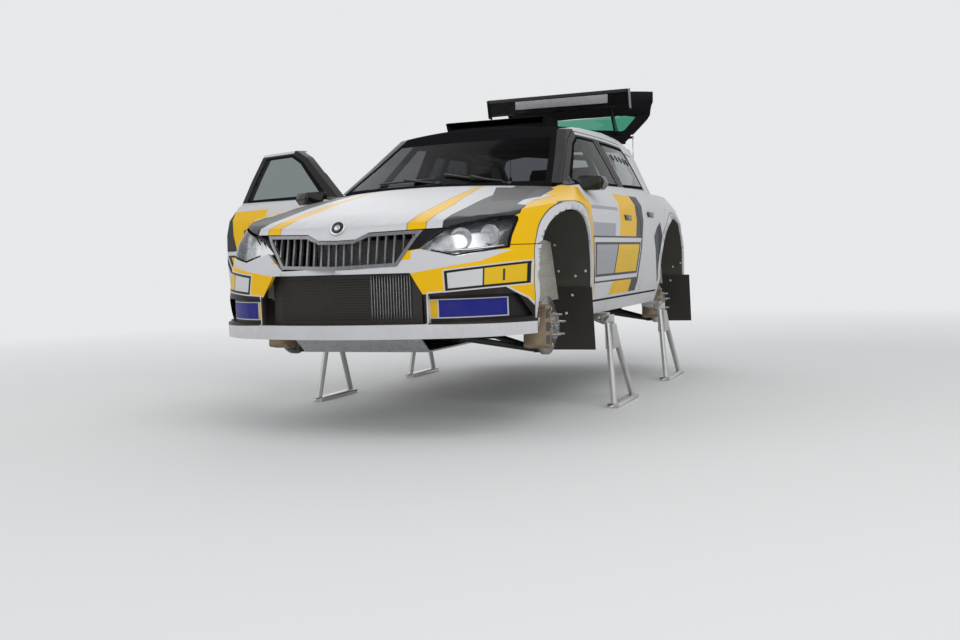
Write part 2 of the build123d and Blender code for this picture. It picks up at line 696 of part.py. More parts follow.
# Roof with its air scoop
SCOOP_X = 340
roof = biggest(((cabin_outer & roof_zone) - cabin_inner) - screen_hole)
scoop_side = [(1330, 1400), (1290, 1476), (1330, 1484), (1640, 1472), (1720, 1440), (1720, 1380)]
scoop_plan = [(-SCOOP_X, 1200), (SCOOP_X, 1200), (SCOOP_X, 1560), (250, 1800), (-250, 1800), (-SCOOP_X, 1560)]
scoop = (along_x(scoop_side, -SCOOP_X, SCOOP_X) & along_z(scoop_plan, 1300, 1600)) - greenhouse(2, 2)
scoop_mouth = block((-SCOOP_X + 20, SCOOP_X - 20), (1200, 1400), (1440, 1470))
roof = roof + (scoop - scoop_mouth)
roof_barrel = barrel(*BARREL_X[:2], (-31, 0))
gate_barrel = barrel(BARREL_X[1] + FIT, BARREL_X[2], (0, 31))
save("roof_panel", roof + roof_barrel + mirrored(roof_barrel))

# Body side: posts, sill, roof rail and rear quarter
lamp_rear_cut = along_y(TAIL_LAMP, 2780, 3400)
side = left_shell
for cut in (door_hole, rear_door_hole, gate_hole, arch_cuts[1],
            block((200, 1000), (2830, 3400), (200, BUMPER_TOP + 3)),
            along_y(grown(TAIL_LAMP, FIT), 2780, 3400)):
    side = side - cut
side = biggest(side - block((200, 1000), (300, 3400), (1452, 1600)))
post = along_y([*POST_LINE, *[(x - POST_DEPTH, z) for x, z in reversed(POST_LINE)]], *POST_Y)
side = side + post
STRUT_X = 500
STRUT_FOOT = (2900, 950)
TUBE_R = 11
strut_lug = bar((STRUT_X + TUBE_R + FIT, *STRUT_FOOT), (705, *STRUT_FOOT), 9)
strut_relief = block((STRUT_X - 20, STRUT_X + 12), (2764, 2860), (1205, 1335))
side = (side - strut_relief) + strut_lug
post_hull = clip(SKIN + 2 * FIT, SKIN, base=150)
post_a = (post_hull & block((BULKHEAD_X + FIT, 1000), POST_A_Y, (FLOOR_Z[1] + FIT, 960))) + block(
    (692, BULKHEAD_X + 6), (BULKHEAD_Y[1] + FIT, POST_A_Y[1]), (880, 956))
side = side + (post_a + block((FLOOR_X + 1, 812), (POST_A_Y[0], DOOR_Y), (270, 333)))
side = side + strap(*STRAP_R, STRAP_HALF, -12, 70)
save("body_side_left", side)
save("body_side_right", mirrored(side))

# Tail lamps and rear bumper
tail_lamp = biggest((lower_cabin(0) - lower_cabin(60)) & lamp_rear_cut)
save("tail_lamps", pair(tail_lamp))
rear_bumper = (cabin_outer & block((-1000, 1000), (2834, 3300), (200, BUMPER_TOP))) - cabin_inner
rear_bumper = rear_bumper - arch_cuts[1] - mirrored(arch_cuts[1])
rear_bumper = rear_bumper - bar((TAIL_PIPE[0], 2700, TAIL_PIPE[1]), (TAIL_PIPE[0], 3300, TAIL_PIPE[1]), 46)
save("rear_bumper", biggest(rear_bumper))


def lifted(shape):
    """A tailgate piece turned up about its hinge."""
    y, z = GATE_HINGE
    return Pos(0, y, z) * Rot(GATE_SWING, 0, 0) * Pos(0, -y, -z) * shape


# Wing: a plane between end plates on two feet
WING_SPAN = 1110
wing_side = [(3024, 1474), (3036, 1490), (3130, 1504), (3152, 1500), (3128, 1488), (3050, 1476)]
plate_side = [(3004, 1444), (3016, 1506), (3150, 1516), (3155, 1450)]
wing = along_x(wing_side, -WING_SPAN / 2 + 8, WING_SPAN / 2 - 8)
FOOT_X = 400
FOOT_HALF = 6
foot_side = [(2760, 1340), (2830, 1285), (3110, 1484), (3036, 1482)]
wing_feet = [along_x(foot_side, x - FOOT_HALF, x + FOOT_HALF) for x in (-FOOT_X, FOOT_X)]
plates = [along_x(plate_side, x - 8, x) for x in (WING_SPAN / 2, -WING_SPAN / 2 + 8)]
rear_wing = wing
for piece in (*wing_feet, *plates):
    rear_wing = rear_wing + piece
rear_wing = biggest(rear_wing - greenhouse(0, 0))
LUG_X = (468, 480)
eye_along, eye_in = 170, 62
gate_slope = radians(56.3)
eye = (GATE_HINGE[0] + eye_along * cos(gate_slope) - eye_in * sin(gate_slope),
       GATE_HINGE[1] - eye_along * sin(gate_slope) - eye_in * cos(gate_slope))
eye_lug = [bar((sign * LUG_X[0], *eye), (sign * (STRUT_X - 9 - FIT), *eye), 9) for sign in (1, -1)]
lug_side = [(eye[0] + dy, eye[1] + dz) for dy, dz in ((-9, -9), (-9, 9), (46, 48), (64, 18))]
lug_foot = [along_x(lug_side, sign * LUG_X[0], sign * LUG_X[1]) for sign in (1, -1)]
gate_whole = tailgate
for piece in (*eye_lug, *lug_foot, gate_barrel, mirrored(gate_barrel)):
    gate_whole = gate_whole + piece
# Pockets in the rim of the open gate where the strut rod's eye swings past
relief_side = [(2862, 1462), (2902, 1462), (2902, 1482), (2912, 1482), (2912, 1491), (2862, 1491)]
eye_relief = along_x(relief_side, 489, 512)
save("tailgate", lifted(gate_whole) - eye_relief - mirrored(eye_relief))
save("tailgate_window", lifted(rear_screen))
save("rear_wing", lifted(rear_wing))

# Gas struts from the body to the tailgate, drawn open
turn = radians(GATE_SWING)
reach = (eye[0] - GATE_HINGE[0], eye[1] - GATE_HINGE[1])
eye_open = (GATE_HINGE[0] + reach[0] * cos(turn) - reach[1] * sin(turn),
            GATE_HINGE[1] + reach[0] * sin(turn) + reach[1] * cos(turn))
way = unit(STRUT_FOOT, eye_open)
TUBE_LENGTH = 272
ROD_LENGTH = 278
BORE_START = 14


def on_strut(distance):
    """A point on the left strut's axis."""
    return (STRUT_X, STRUT_FOOT[0] + way[0] * distance, STRUT_FOOT[1] + way[1] * distance)


open_length = hypot(eye_open[0] - STRUT_FOOT[0], eye_open[1] - STRUT_FOOT[1])
tube = bar(on_strut(0), on_strut(TUBE_LENGTH), TUBE_R) + bar(
    (STRUT_X - 8, *STRUT_FOOT), (STRUT_X + 10, *STRUT_FOOT), 13)
tube = tube - bar(on_strut(BORE_START), on_strut(TUBE_LENGTH + 10), 5.5)
rod = bar(on_strut(open_length - ROD_LENGTH), on_strut(open_length), 5) + bar(
    (STRUT_X - 9, *eye_open), (STRUT_X + 8, *eye_open), 11)
for name, piece in (("strut_tube", tube), ("strut_rod", rod)):
    save(f"{name}_left", piece)
    save(f"{name}_right", mirrored(piece))


def kingpin(z):
    """The x of the steering axis at a height."""
    share = (z - KINGPIN_LOW[1]) / (KINGPIN_TOP[1] - KINGPIN_LOW[1])
    return KINGPIN_LOW[0] + share * (KINGPIN_TOP[0] - KINGPIN_LOW[0])


CALIPER_X = (690, 806)
CALIPER_SIDE = ((-184, -96), (-92, -112), (-74, 104), (-168, 118))


def upright(y, strut_top):
    """Knuckle, caliper and coil-over leg of the left wheel at y."""
    centre = (y, HUB_Z)

    def on_axis(z):
        return (kingpin(z), y, z)

    carrier = bar((680, *centre), (724, *centre), 68) + bar(on_axis(BALL_TOP + 5), on_axis(400), 26)
    carrier = carrier - bar((600, *centre), (700, *centre), 52)
    caliper = along_x([(y + dy, HUB_Z + dz) for dy, dz in CALIPER_SIDE], *CALIPER_X, corner=14)
    caliper = caliper - bar((DISC_X - DISC_THICK / 2 - 4, *centre), (DISC_X + DISC_THICK / 2 + 4, *centre),
                            DISC_R + 5)
    bridge = block((690, 716), (y - 130, y - 40), (HUB_Z - 60, HUB_Z + 60)) - bar(
        (600, *centre), (700, *centre), 52)
    spring = bar(on_axis(560), on_axis(SPRING_TOP), 52) - bar(on_axis(540), on_axis(SPRING_TOP + 20), 44)
    whole = carrier
    for piece in (
        caliper, bridge, spring,
        bar(on_axis(380), on_axis(640), 32), bar(on_axis(630), on_axis(strut_top), 12),
        bar(on_axis(548), on_axis(562), 56), bar(on_axis(SPRING_TOP - 2), on_axis(SPRING_TOP + 10), 56),
    ):
        whole = whole + piece
    return whole - bar((700, *centre), (900, *centre), BEARING_R + FIT)


def hub(y, phase=0):
    """Hub with studs, spigot and brake disc of the left wheel at y."""
    whole = bar((HUB_FACE - 14, y, HUB_Z), (HUB_FACE, y, HUB_Z), FLANGE_R)
    disc = bar((DISC_X - DISC_THICK / 2, y, HUB_Z), (DISC_X + DISC_THICK / 2, y, HUB_Z), DISC_R)
    whole = whole + disc + bar((DISC_X, y, HUB_Z), (HUB_FACE, y, HUB_Z), 66)
    whole = whole + bar((kingpin(HUB_Z) + JOINT_R + FIT, y, HUB_Z), (DISC_X, y, HUB_Z), BEARING_R)
    whole = whole + bar((HUB_FACE, y, HUB_Z), (HUB_FACE + SPIGOT_LENGTH, y, HUB_Z), SPIGOT_R)
    for i in range(STUD_COUNT):
        angle = phase + 2 * pi * i / STUD_COUNT
        spot = (y + STUD_PCD / 2 * sin(angle), HUB_Z + STUD_PCD / 2 * cos(angle))
        whole = whole + bar((HUB_FACE - 2, *spot), (HUB_FACE + STUD_LENGTH, *spot), STUD_R)
    return whole


# Front corners: the upright turns with its steering arm
arm_plan = [(655, 40), (700, 30), (690, ARM_Y), (655, ARM_Y + 14), (ARM_TIP_X, ARM_Y)]
arm = along_z(arm_plan, RACK_Z - RACK_R, RACK_Z + RACK_R)
front_upright = upright(0, TOWER_Z - 2) + (arm - bar((600, 0, HUB_Z), (720, 0, HUB_Z), 52))
save("upright_front_left", front_upright)
save("upright_front_right", mirrored(front_upright))
save("hub_front_left", hub(0))
save("hub_front_right", mirrored(hub(0, RIGHT_PHASE)))
save("hub_rear_left", hub(WHEELBASE))
save("hub_rear_right", mirrored(hub(WHEELBASE, RIGHT_PHASE)))
save("uprights_rear", pair(upright(WHEELBASE, ARCH_Z + ARCH_R - LINER - 2.4)))

# Steering rack with its rods
rack_end = ARM_TIP_X - 2 * FIT
rack = bar((10 - rack_end, ARM_Y, RACK_Z), (rack_end - 10, ARM_Y, RACK_Z), RACK_R)
save("steering_rack", rack + bar((1 - rack_end, ARM_Y, RACK_Z), (rack_end - 1, ARM_Y, RACK_Z), RACK_R / 2))

# Subframes with the lower arms
FRONT_BEAM = ((-215, -150), (165, 215))
REAR_BEAM = ((150, 205), (160, 196))
BEAM_X = 360
MEMBER_X = (220, 280)
RISER_X = (405, 440)


def lower_arm(y):
    """Wishbone of the left wheel at y."""
    ball = (KINGPIN_LOW[0], y)
    whole = bar((*ball, BALL_TOP - 34), (*ball, BALL_TOP), 22)
    for sign in (-1, 1):
        whole = whole + bar((KINGPIN_LOW[0] - 20, y + sign * 8, 120), (345, y + sign * 175, 190), 16)
    return whole


def subframe(y, top):
    """Cross-frame between the lower arms, which hangs from risers."""
    frame = block((-BEAM_X, BEAM_X), (y + FRONT_BEAM[0][0], y + FRONT_BEAM[0][1]), FRONT_BEAM[1])
    beam_y = (y + REAR_BEAM[0][0], y + REAR_BEAM[0][1])
    frame = frame + block((-RISER_X[1], RISER_X[1]), beam_y, REAR_BEAM[1])
    half = block(MEMBER_X, (y - 160, y + 160), (168, 198)) + lower_arm(y)
    half = half + block(RISER_X, beam_y, (REAR_BEAM[1][0], top - FIT))
    return frame + half + mirrored(half)


save("subframe_front", subframe(0, LEG_Z[0]))
save("subframe_rear", subframe(WHEELBASE, REAR_FLOOR_Z[0]))

# Engine and gearbox as one plain block, rear differential as another
ENGINE = ((-300, 300), (-480, 60), (FRONT_BEAM[1][1] + FIT, 700))
DIFFERENTIAL_X = 285
save("engine_block", block(*ENGINE))
save("rear_differential", block((-DIFFERENTIAL_X, DIFFERENTIAL_X), (WHEELBASE - 110, WHEELBASE + 110),
                                (198 + FIT, 288)))


def drive_shaft(start, y):
    """Shaft with its boots and outer joint, from the side of a gearbox or differential."""
    inner = (start + FIT, y, HUB_Z + 20)
    outer = (kingpin(HUB_Z), y, HUB_Z)
    middle = (start + 60, y, HUB_Z + 19)
    shaft = bar(inner, (start + 85, y, HUB_Z + 20), 36) + bar(middle, outer, 15)
    return shaft + Pos(*outer) * Sphere(JOINT_R)


save("drive_shafts", Compound([*pair(drive_shaft(ENGINE[0][1], 0)).solids(),
                               *pair(drive_shaft(DIFFERENTIAL_X, WHEELBASE)).solids()]))

# Sump guard and exhaust
GUARD_TOP = REAR_BEAM[1][0] - FIT
GUARD = 8
guard_side = [
    (-650, GUARD_TOP + 70), (-560, GUARD_TOP), (420, GUARD_TOP), (450, GUARD_TOP + 40), (457, GUARD_TOP + 36),
    (424, GUARD_TOP - GUARD), (-564, GUARD_TOP - GUARD), (-656, GUARD_TOP + 64),
]
save("sump_guard", along_x(guard_side, -345, 345))
PIPE_R = 32
pipe_route = [
    (0, ENGINE[1][1] + FIT, 330), (0, 2150, 330), (TAIL_PIPE[0], 2560, 345), (TAIL_PIPE[0], 2740, 295),
]
exhaust = block((200, 460), (2730, 2950), (250, 330)) + bar(
    (TAIL_PIPE[0], 2945, TAIL_PIPE[1]), (TAIL_PIPE[0], TAIL_Y + 5, TAIL_PIPE[1]), 38)
for a, b in zip(pipe_route[:-1], pipe_route[1:]):
    exhaust = exhaust + bar(a, b, PIPE_R)
for joint in pipe_route[1:-1]:
    exhaust = exhaust + Pos(*joint) * Sphere(PIPE_R)
save("exhaust", exhaust)

# Arch liners and mud flaps
def liner(y, inner):
    """Liner under the wing of the left wheel at y, open for the shaft and arms."""
    shell = arch(y, -FIT, inner, 1000) - arch(y, -FIT - LINER, inner + LINER, 1100)
    return shell - block((inner - 10, inner + LINER + 3), (y - 240, y + 240), (100, 400))


front_liner = liner(0, LINER_INNER_X[0]) & clip(LINER_EDGE, 60, base=150)
front_liner = front_liner - block((400, 1000), (-700, 700), (100, 235))
front_liner = front_liner - bar((kingpin(700), 0, 700), (kingpin(900), 0, 900), 75)
rear_liner = (liner(WHEELBASE, LINER_INNER_X[1]) & lower_cabin(LINER_EDGE)) - block(
    (400, 1000), (1900, 3100), (100, 270))
liners = [biggest(front_liner), biggest(rear_liner)]
save("arch_liners", Compound([s for piece in liners for s in pair(piece).solids()]))

FLAP = 6
FLAP_TOP = 420
FLAPS = ((0, 640, 884, 75), (WHEELBASE, 640, 915, 72))


def flap(y, x0, x1, foot):
    """A mud flap that lies on the rear wall of the liner."""
    slope = 36 / (ARCH_Z - ARCH_FOOT + 60)
    top_y = y + ARCH_R - 2 * FIT - LINER + slope * (ARCH_Z - FLAP_TOP)
    foot_y = top_y + slope * (FLAP_TOP - foot)
    side_view = [(top_y, FLAP_TOP), (foot_y, foot), (foot_y - FLAP, foot), (top_y - FLAP, FLAP_TOP)]
    return along_x(side_view, x0, x1)


save("mud_flaps", Compound([s for row in FLAPS for s in pair(flap(*row)).solids()]))


# Stands: an upright frame with a bracket under the sill
LEG_TOP = 236
LEG_R = 17
GUSSET_TOP = 200


def stand(y):
    """The left stand at y, whose head is further forward."""
    head = y - STAND_HEAD_BACK
    foot = block((STAND_FOOT_X - STAND_PAD / 2, STAND_FOOT_X + STAND_PAD / 2),
                 (y - STAND_FOOT / 2, y + STAND_FOOT / 2), (-LIFT, -LIFT + 22))
    whole = foot
    for side_ in (-1, 1):
        low = (STAND_FOOT_X, y + side_ * (STAND_FOOT / 2 - 28), -LIFT + 20)
        whole = whole + bar(low, (STAND_HEAD_X, head + side_ * 30, LEG_TOP), LEG_R)
    gusset = [(y - 123, 60), (y + 50, 60), (head + 42, GUSSET_TOP), (head - 42, GUSSET_TOP)]
    lean = (STAND_FOOT_X - STAND_HEAD_X) / (LEG_TOP + LIFT)
    plate_x = STAND_HEAD_X + lean * (LEG_TOP - 130)
    whole = whole + along_x(gusset, plate_x - 22, plate_x + 22)
    whole = whole + block((STAND_HEAD_X - 24, STAND_HEAD_X + 20), (head - 52, head + 52), (212, 252))
    bracket = along_y([(770, SILL_BOTTOM), (STAND_HEAD_X, SILL_BOTTOM), (STAND_HEAD_X, 200), (868, 200),
                       (770, 238)], head - 30, head + 30)
    return whole + bracket - bar((845, head - 60, 238), (845, head + 60, 238), 9)


stands = [solid for y in STAND_Y for solid in pair(stand(y)).solids()]
save("stands", Compound(stands))

# Roll cage
TUBE = 20
def cage_run(*points):
    """Bars through points with round joints."""
    whole = bar(points[0], points[1], TUBE)
    for a, b in zip(points[1:-1], points[2:]):
        whole = whole + Pos(*a) * Sphere(TUBE) + bar(a, b, TUBE)
    return whole


CAGE = {
    "front foot": (690, 620, 310.6), "dash": (659, 638.6, 672), "knee": (640, 650, 900),
    "screen": (478, 1130, 1318), "hoop": (466, 1640, 1340), "shoulder": (640, 1660, 900),
    "hoop foot": (680, 1660, 310), "tail": (430, 2500, 1280), "rear knee": (430, 2840, 1000),
    "rear foot": (430, 2860, 421.2),
}


def cage_ends(*names):
    """Places on the left half of the cage."""
    return [CAGE[name] for name in names]


def cage_across(name):
    """A cross bar of the cage."""
    x, y, z = CAGE[name]
    return cage_run((-x, y, z), (x, y, z))


half_cage = cage_run(*cage_ends("front foot", "knee", "screen", "hoop", "shoulder", "hoop foot"))
half_cage = half_cage + cage_run(*cage_ends("hoop", "tail", "rear knee", "rear foot"))
half_cage = half_cage + cage_run((672, 640, 560), (684, 1660, 420))
half_cage = half_cage + cage_run((680, 640, 400), (676, 1660, 600))
cage = half_cage + mirrored(half_cage) + cage_run((-466, 1640, 1340), (430, 2500, 1280))
for name in ("dash", "screen", "hoop", "shoulder"):
    cage = cage + cage_across(name)
save("roll_cage", cage)

# Seats, dashboard and steering wheel
SEAT_X = 350
SEAT_HALF = 200
SEAT_WALL = 45
seat_profile = [(1000, FLOOR_Z[1] + FIT), (1420, FLOOR_Z[1] + FIT), (1480, 420), (1620, 1120), (1570, 1160),
                (1520, 1120), (1400, 700), (1300, 560), (1060, 560), (980, 500)]
seat_space = [(940, 640), (970, 470), (1320, 430), (1380, 480), (1535, 1080), (1480, 1200), (940, 1200)]
save("seats", pair(along_x(seat_profile, SEAT_X - SEAT_HALF, SEAT_X + SEAT_HALF)
                   - along_x(seat_space, SEAT_X - SEAT_HALF + SEAT_WALL, SEAT_X + SEAT_HALF - SEAT_WALL)))
DASH_FACE = 800
dash_front = BULKHEAD_Y[1] + FIT
dash_side = [(dash_front, 705), (640, 702), (DASH_FACE, 750), (DASH_FACE, 850), (620, 930), (dash_front, 925)]
save("dashboard", along_x(dash_side, -600, 600))
WHEEL = (SEAT_X, 985, 868)
WHEEL_TILT = 22
column = Vector(0, -cos(radians(WHEEL_TILT)), -sin(radians(WHEEL_TILT)))
wheel_plane = Plane(origin=WHEEL, z_dir=column)
wheel = wheel_plane * (Torus(165, 15) + Cylinder(34, 20) + Box(320, 26, 12))
COLUMN_R = 16
column_end = (WHEEL[1] - DASH_FACE - FIT) / cos(radians(WHEEL_TILT)) - COLUMN_R * tan(radians(WHEEL_TILT))
wheel = wheel + bar(WHEEL, tuple(Vector(*WHEEL) + column * column_end), COLUMN_R)
save("steering_wheel", wheel)
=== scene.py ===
import json
import math
import bpy
from mathutils import Matrix, Vector


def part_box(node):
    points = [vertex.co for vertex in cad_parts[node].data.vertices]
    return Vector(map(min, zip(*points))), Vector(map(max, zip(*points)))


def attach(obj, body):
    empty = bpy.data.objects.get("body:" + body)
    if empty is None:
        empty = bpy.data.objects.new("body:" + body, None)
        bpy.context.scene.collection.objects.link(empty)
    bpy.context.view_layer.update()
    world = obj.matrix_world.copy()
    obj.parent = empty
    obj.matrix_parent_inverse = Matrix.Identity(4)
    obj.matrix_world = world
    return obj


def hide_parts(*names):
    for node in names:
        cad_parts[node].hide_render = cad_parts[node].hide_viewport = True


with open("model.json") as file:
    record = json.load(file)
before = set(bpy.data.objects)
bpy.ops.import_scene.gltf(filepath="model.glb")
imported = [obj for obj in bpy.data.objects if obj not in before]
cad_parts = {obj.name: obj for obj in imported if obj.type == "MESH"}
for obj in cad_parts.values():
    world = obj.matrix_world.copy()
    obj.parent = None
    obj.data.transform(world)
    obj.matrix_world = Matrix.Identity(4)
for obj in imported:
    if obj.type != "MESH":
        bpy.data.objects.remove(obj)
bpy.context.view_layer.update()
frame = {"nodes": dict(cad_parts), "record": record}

# Rally car on stands. Metres, in the frame of the CAD. Sizes taken from the body's own axes are written
# in millimetres behind the front axle (y), over the road (z) and from the centre line (x).
axleToOrigin = 1425
roadToFloor = 260
wheelbase = 2480
mergeGap = 0.00002  # in metres, for the loose triangles of a copied node
nodes = frame["nodes"]


def spot(x, y, z):
    return Vector((x / 1000, (y - axleToOrigin) / 1000, (z + roadToFloor) / 1000))


def clearSelection():
    if bpy.context.object and bpy.context.object.mode != "OBJECT":
        bpy.ops.object.mode_set(mode="OBJECT")
    bpy.ops.object.select_all(action="DESELECT")


def pick(piece):
    clearSelection()
    piece.select_set(True)
    bpy.context.view_layer.objects.active = piece


def applyPlace(piece):
    pick(piece)
    bpy.ops.object.transform_apply(location=True, rotation=True, scale=True)


def addModifier(piece, kind, **values):
    pick(piece)
    modifier = piece.modifiers.new(kind.title(), kind)
    for key, value in values.items():
        setattr(modifier, key, value)
    bpy.ops.object.modifier_apply(modifier=modifier.name)


def smooth(piece, angle=35):
    pick(piece)
    bpy.ops.object.shade_smooth_by_angle(angle=math.radians(angle))


# Shader helpers: a tree's own maths on the object's coordinates
class Shade:
    def __init__(self, name, turn=None):
        self.material = bpy.data.materials.new(name)
        self.material.use_nodes = True
        self.tree = self.material.node_tree
        self.shader = self.tree.nodes["Principled BSDF"]
        self.place = self.tree.nodes.new("ShaderNodeTexCoord").outputs["Object"]
        if turn:  # brings a pattern back from a door that stands open
            mapping = self.tree.nodes.new("ShaderNodeMapping")
            self.tree.links.new(self.place, mapping.inputs["Vector"])
            mapping.inputs["Rotation"].default_value = (0, 0, turn["angle"])
            mapping.inputs["Location"].default_value = turn["shift"]
            self.place = mapping.outputs[0]
        parts = self.tree.nodes.new("ShaderNodeSeparateXYZ")
        self.tree.links.new(self.place, parts.inputs[0])
        self.x, self.y, self.z = parts.outputs
        self.side = self.maths("ABSOLUTE", self.x)

    def maths(self, operation, a, b=None, c=None, clamp=False):
        node = self.tree.nodes.new("ShaderNodeMath")
        node.operation = operation
        node.use_clamp = clamp
        for socket, value in zip(node.inputs, (a, b, c)):
            if value is None:
                continue
            if isinstance(value, (int, float)):
                socket.default_value = value
            else:
                self.tree.links.new(value, socket)
        return node.outputs[0]

    def mix(self, mask, a, b):
        node = self.tree.nodes.new("ShaderNodeMix")
        node.data_type = "RGBA"
        for socket, value in ((node.inputs["Factor"], mask), (node.inputs[6], a), (node.inputs[7], b)):
            if isinstance(value, tuple):
                socket.default_value = (*value, 1)
            elif isinstance(value, (int, float)):
                socket.default_value = value
            else:
                self.tree.links.new(value, socket)
        return node.outputs[2]

    def distance(self, u, v, points):  # how far inside a convex outline, negative outside
        area = sum(a[0] * b[1] - b[0] * a[1] for a, b in zip(points, points[1:] + points[:1]))
        turn = 1 if area > 0 else -1
        nearest = None
        for a, b in zip(points, points[1:] + points[:1]):
            length = math.hypot(b[0] - a[0], b[1] - a[1])
            nx, nv = -turn * (b[1] - a[1]) / length, turn * (b[0] - a[0]) / length
            edge = self.maths("MULTIPLY_ADD", u, nx, -(nx * a[0] + nv * a[1]))
            edge = self.maths("MULTIPLY_ADD", v, nv, edge)
            nearest = edge if nearest is None else self.maths("MINIMUM", nearest, edge)
        return nearest

    def inside(self, distance, margin=0.0, soft=0.002):
        return self.maths("MULTIPLY_ADD", distance, 1 / soft, 0.5 + margin / soft, clamp=True)

    def noise(self, scale, detail=3, roughness=0.5):
        node = self.tree.nodes.new("ShaderNodeTexNoise")
        node.inputs["Scale"].default_value = scale
        node.inputs["Detail"].default_value = detail
        node.inputs["Roughness"].default_value = roughness
        self.tree.links.new(self.place, node.inputs["Vector"])
        return node.outputs[0]

    def spread(self, value, low, high, start=0.0, end=1.0):
        node = self.tree.nodes.new("ShaderNodeMapRange")
        self.tree.links.new(value, node.inputs[0])
        for i, number in enumerate((low, high, start, end)):
            node.inputs[i + 1].default_value = number
        return node.outputs[0]

    def bump(self, height, strength, depth=0.001):
        node = self.tree.nodes.new("ShaderNodeBump")
        node.inputs["Strength"].default_value = strength
        node.inputs["Distance"].default_value = depth
        self.tree.links.new(height, node.inputs["Height"])
        self.tree.links.new(node.outputs[0], self.shader.inputs["Normal"])

    def join(self, value, name):
        self.tree.links.new(value, self.shader.inputs[name])

    def put(self, **values):
        for name, value in values.items():
            socket = self.shader.inputs[name.replace("_", " ")]
            socket.default_value = (*value, 1) if isinstance(value, tuple) and len(value) == 3 else value


colours = {
    "white": (0.64, 0.64, 0.66), "yellow": (0.88, 0.51, 0.004), "darkGrey": (0.042, 0.045, 0.047),
    "black": (0.011, 0.011, 0.012), "dirt": (0.27, 0.21, 0.15), "blue": (0.008, 0.012, 0.22),
    "midGrey": (0.36, 0.37, 0.40), "amber": (0.80, 0.50, 0.02),
}


def outlineXZ(points):  # seen from the front, |x| and height
    return [(x / 1000, (z + roadToFloor) / 1000) for x, z in points]


def outlineYZ(points):  # seen from the side
    return [((y - axleToOrigin) / 1000, (z + roadToFloor) / 1000) for y, z in points]


def outlineXY(points):  # seen from above, |x|
    return [(x / 1000, (y - axleToOrigin) / 1000) for x, y in points]


dirtSpec = {
    "speck": (38, 6, 0.7), "cloud": (4.5, 4, 0.6),  # noise: scale, detail, roughness
    "heights": (620, 240), "strength": (0.02, 0.34),  # of the splash, over the road
    "cloudSpread": (0.35, 0.75, 0.25, 1.2), "speckSpread": (0.3, 0.7, 0.6, 1.2),
    "unevenSpread": (0.3, 0.8, 0, 0.05), "dullAt": 0.5, "dull": 0.7,
}
lacquer = {"roughness": 0.16, "ior": 1.5, "peel": (420, 2), "peelBump": (0.03, 0.0005)}
flareSpec = {"centre": 430, "radius": 0.4, "width": 0.040, "line": 0.005}


# How far inside the round flare a point is: a ring about the hub, with straight legs
def flareMask(shade, hubY):
    dy = shade.maths("SUBTRACT", shade.y, (hubY - axleToOrigin) / 1000)
    above = shade.maths("SUBTRACT", shade.z, (flareSpec["centre"] + roadToFloor) / 1000)
    dz = shade.maths("MAXIMUM", above, 0)
    squares = shade.maths("ADD", shade.maths("MULTIPLY", dy, dy), shade.maths("MULTIPLY", dz, dz))
    return shade.maths("SUBTRACT", flareSpec["radius"] + flareSpec["width"], shade.maths("SQRT", squares))


# Paint with the colour blocks of one panel group, road dirt low down and white flares over the arches
def paint(name, base, blocks, turn=None, flares=(), dust=0.5, roughness=0.34, gloss=0.04, specular=0.08):
    shade = Shade(name, turn)
    colour = colours[base]
    axes = {"front": (shade.side, shade.z), "side": (shade.y, shade.z), "plan": (shade.side, shade.y)}
    for view, points, fill, border in blocks:
        distance = shade.distance(*axes[view], points)
        if border:
            colour = shade.mix(shade.inside(distance, border[1]), colour, colours[border[0]])
        colour = shade.mix(shade.inside(distance), colour, colours[fill])
    speck = shade.noise(*dirtSpec["speck"])
    cloud = shade.noise(*dirtSpec["cloud"])
    heights = [(height + roadToFloor) / 1000 for height in dirtSpec["heights"]]
    low = shade.spread(shade.z, *heights, *dirtSpec["strength"])
    film = shade.maths("MULTIPLY", low, shade.spread(cloud, *dirtSpec["cloudSpread"]))
    film = shade.maths("MULTIPLY", film, shade.spread(speck, *dirtSpec["speckSpread"]))
    film = shade.maths("MULTIPLY", film, dust, clamp=True)
    colour = shade.mix(film, colour, colours["dirt"])
    for hubY in flares:
        band = flareMask(shade, hubY)
        colour = shade.mix(shade.inside(band, flareSpec["line"]), colour, colours["darkGrey"])
        colour = shade.mix(shade.inside(band), colour, colours["white"])
    shade.join(colour, "Base Color")
    uneven = shade.maths("ADD", film, shade.spread(cloud, *dirtSpec["unevenSpread"]))
    shade.join(shade.spread(uneven, 0, dirtSpec["dullAt"], roughness, dirtSpec["dull"]), "Roughness")
    shade.put(Coat_Weight=gloss, Coat_Roughness=lacquer["roughness"], Coat_IOR=lacquer["ior"],
              Specular_IOR_Level=specular)
    shade.bump(shade.noise(*lacquer["peel"]), *lacquer["peelBump"])
    return shade.material


print("materials")
doorHinge = spot(-885, 499, 0)
openDoor = math.radians(65)
# the right front door stands open: back to its closed place the pattern turns the other way
backTurn = Matrix.Rotation(-openDoor, 3, "Z")
doorTurn = {"angle": -openDoor, "shift": tuple(doorHinge - backTurn @ doorHinge)}

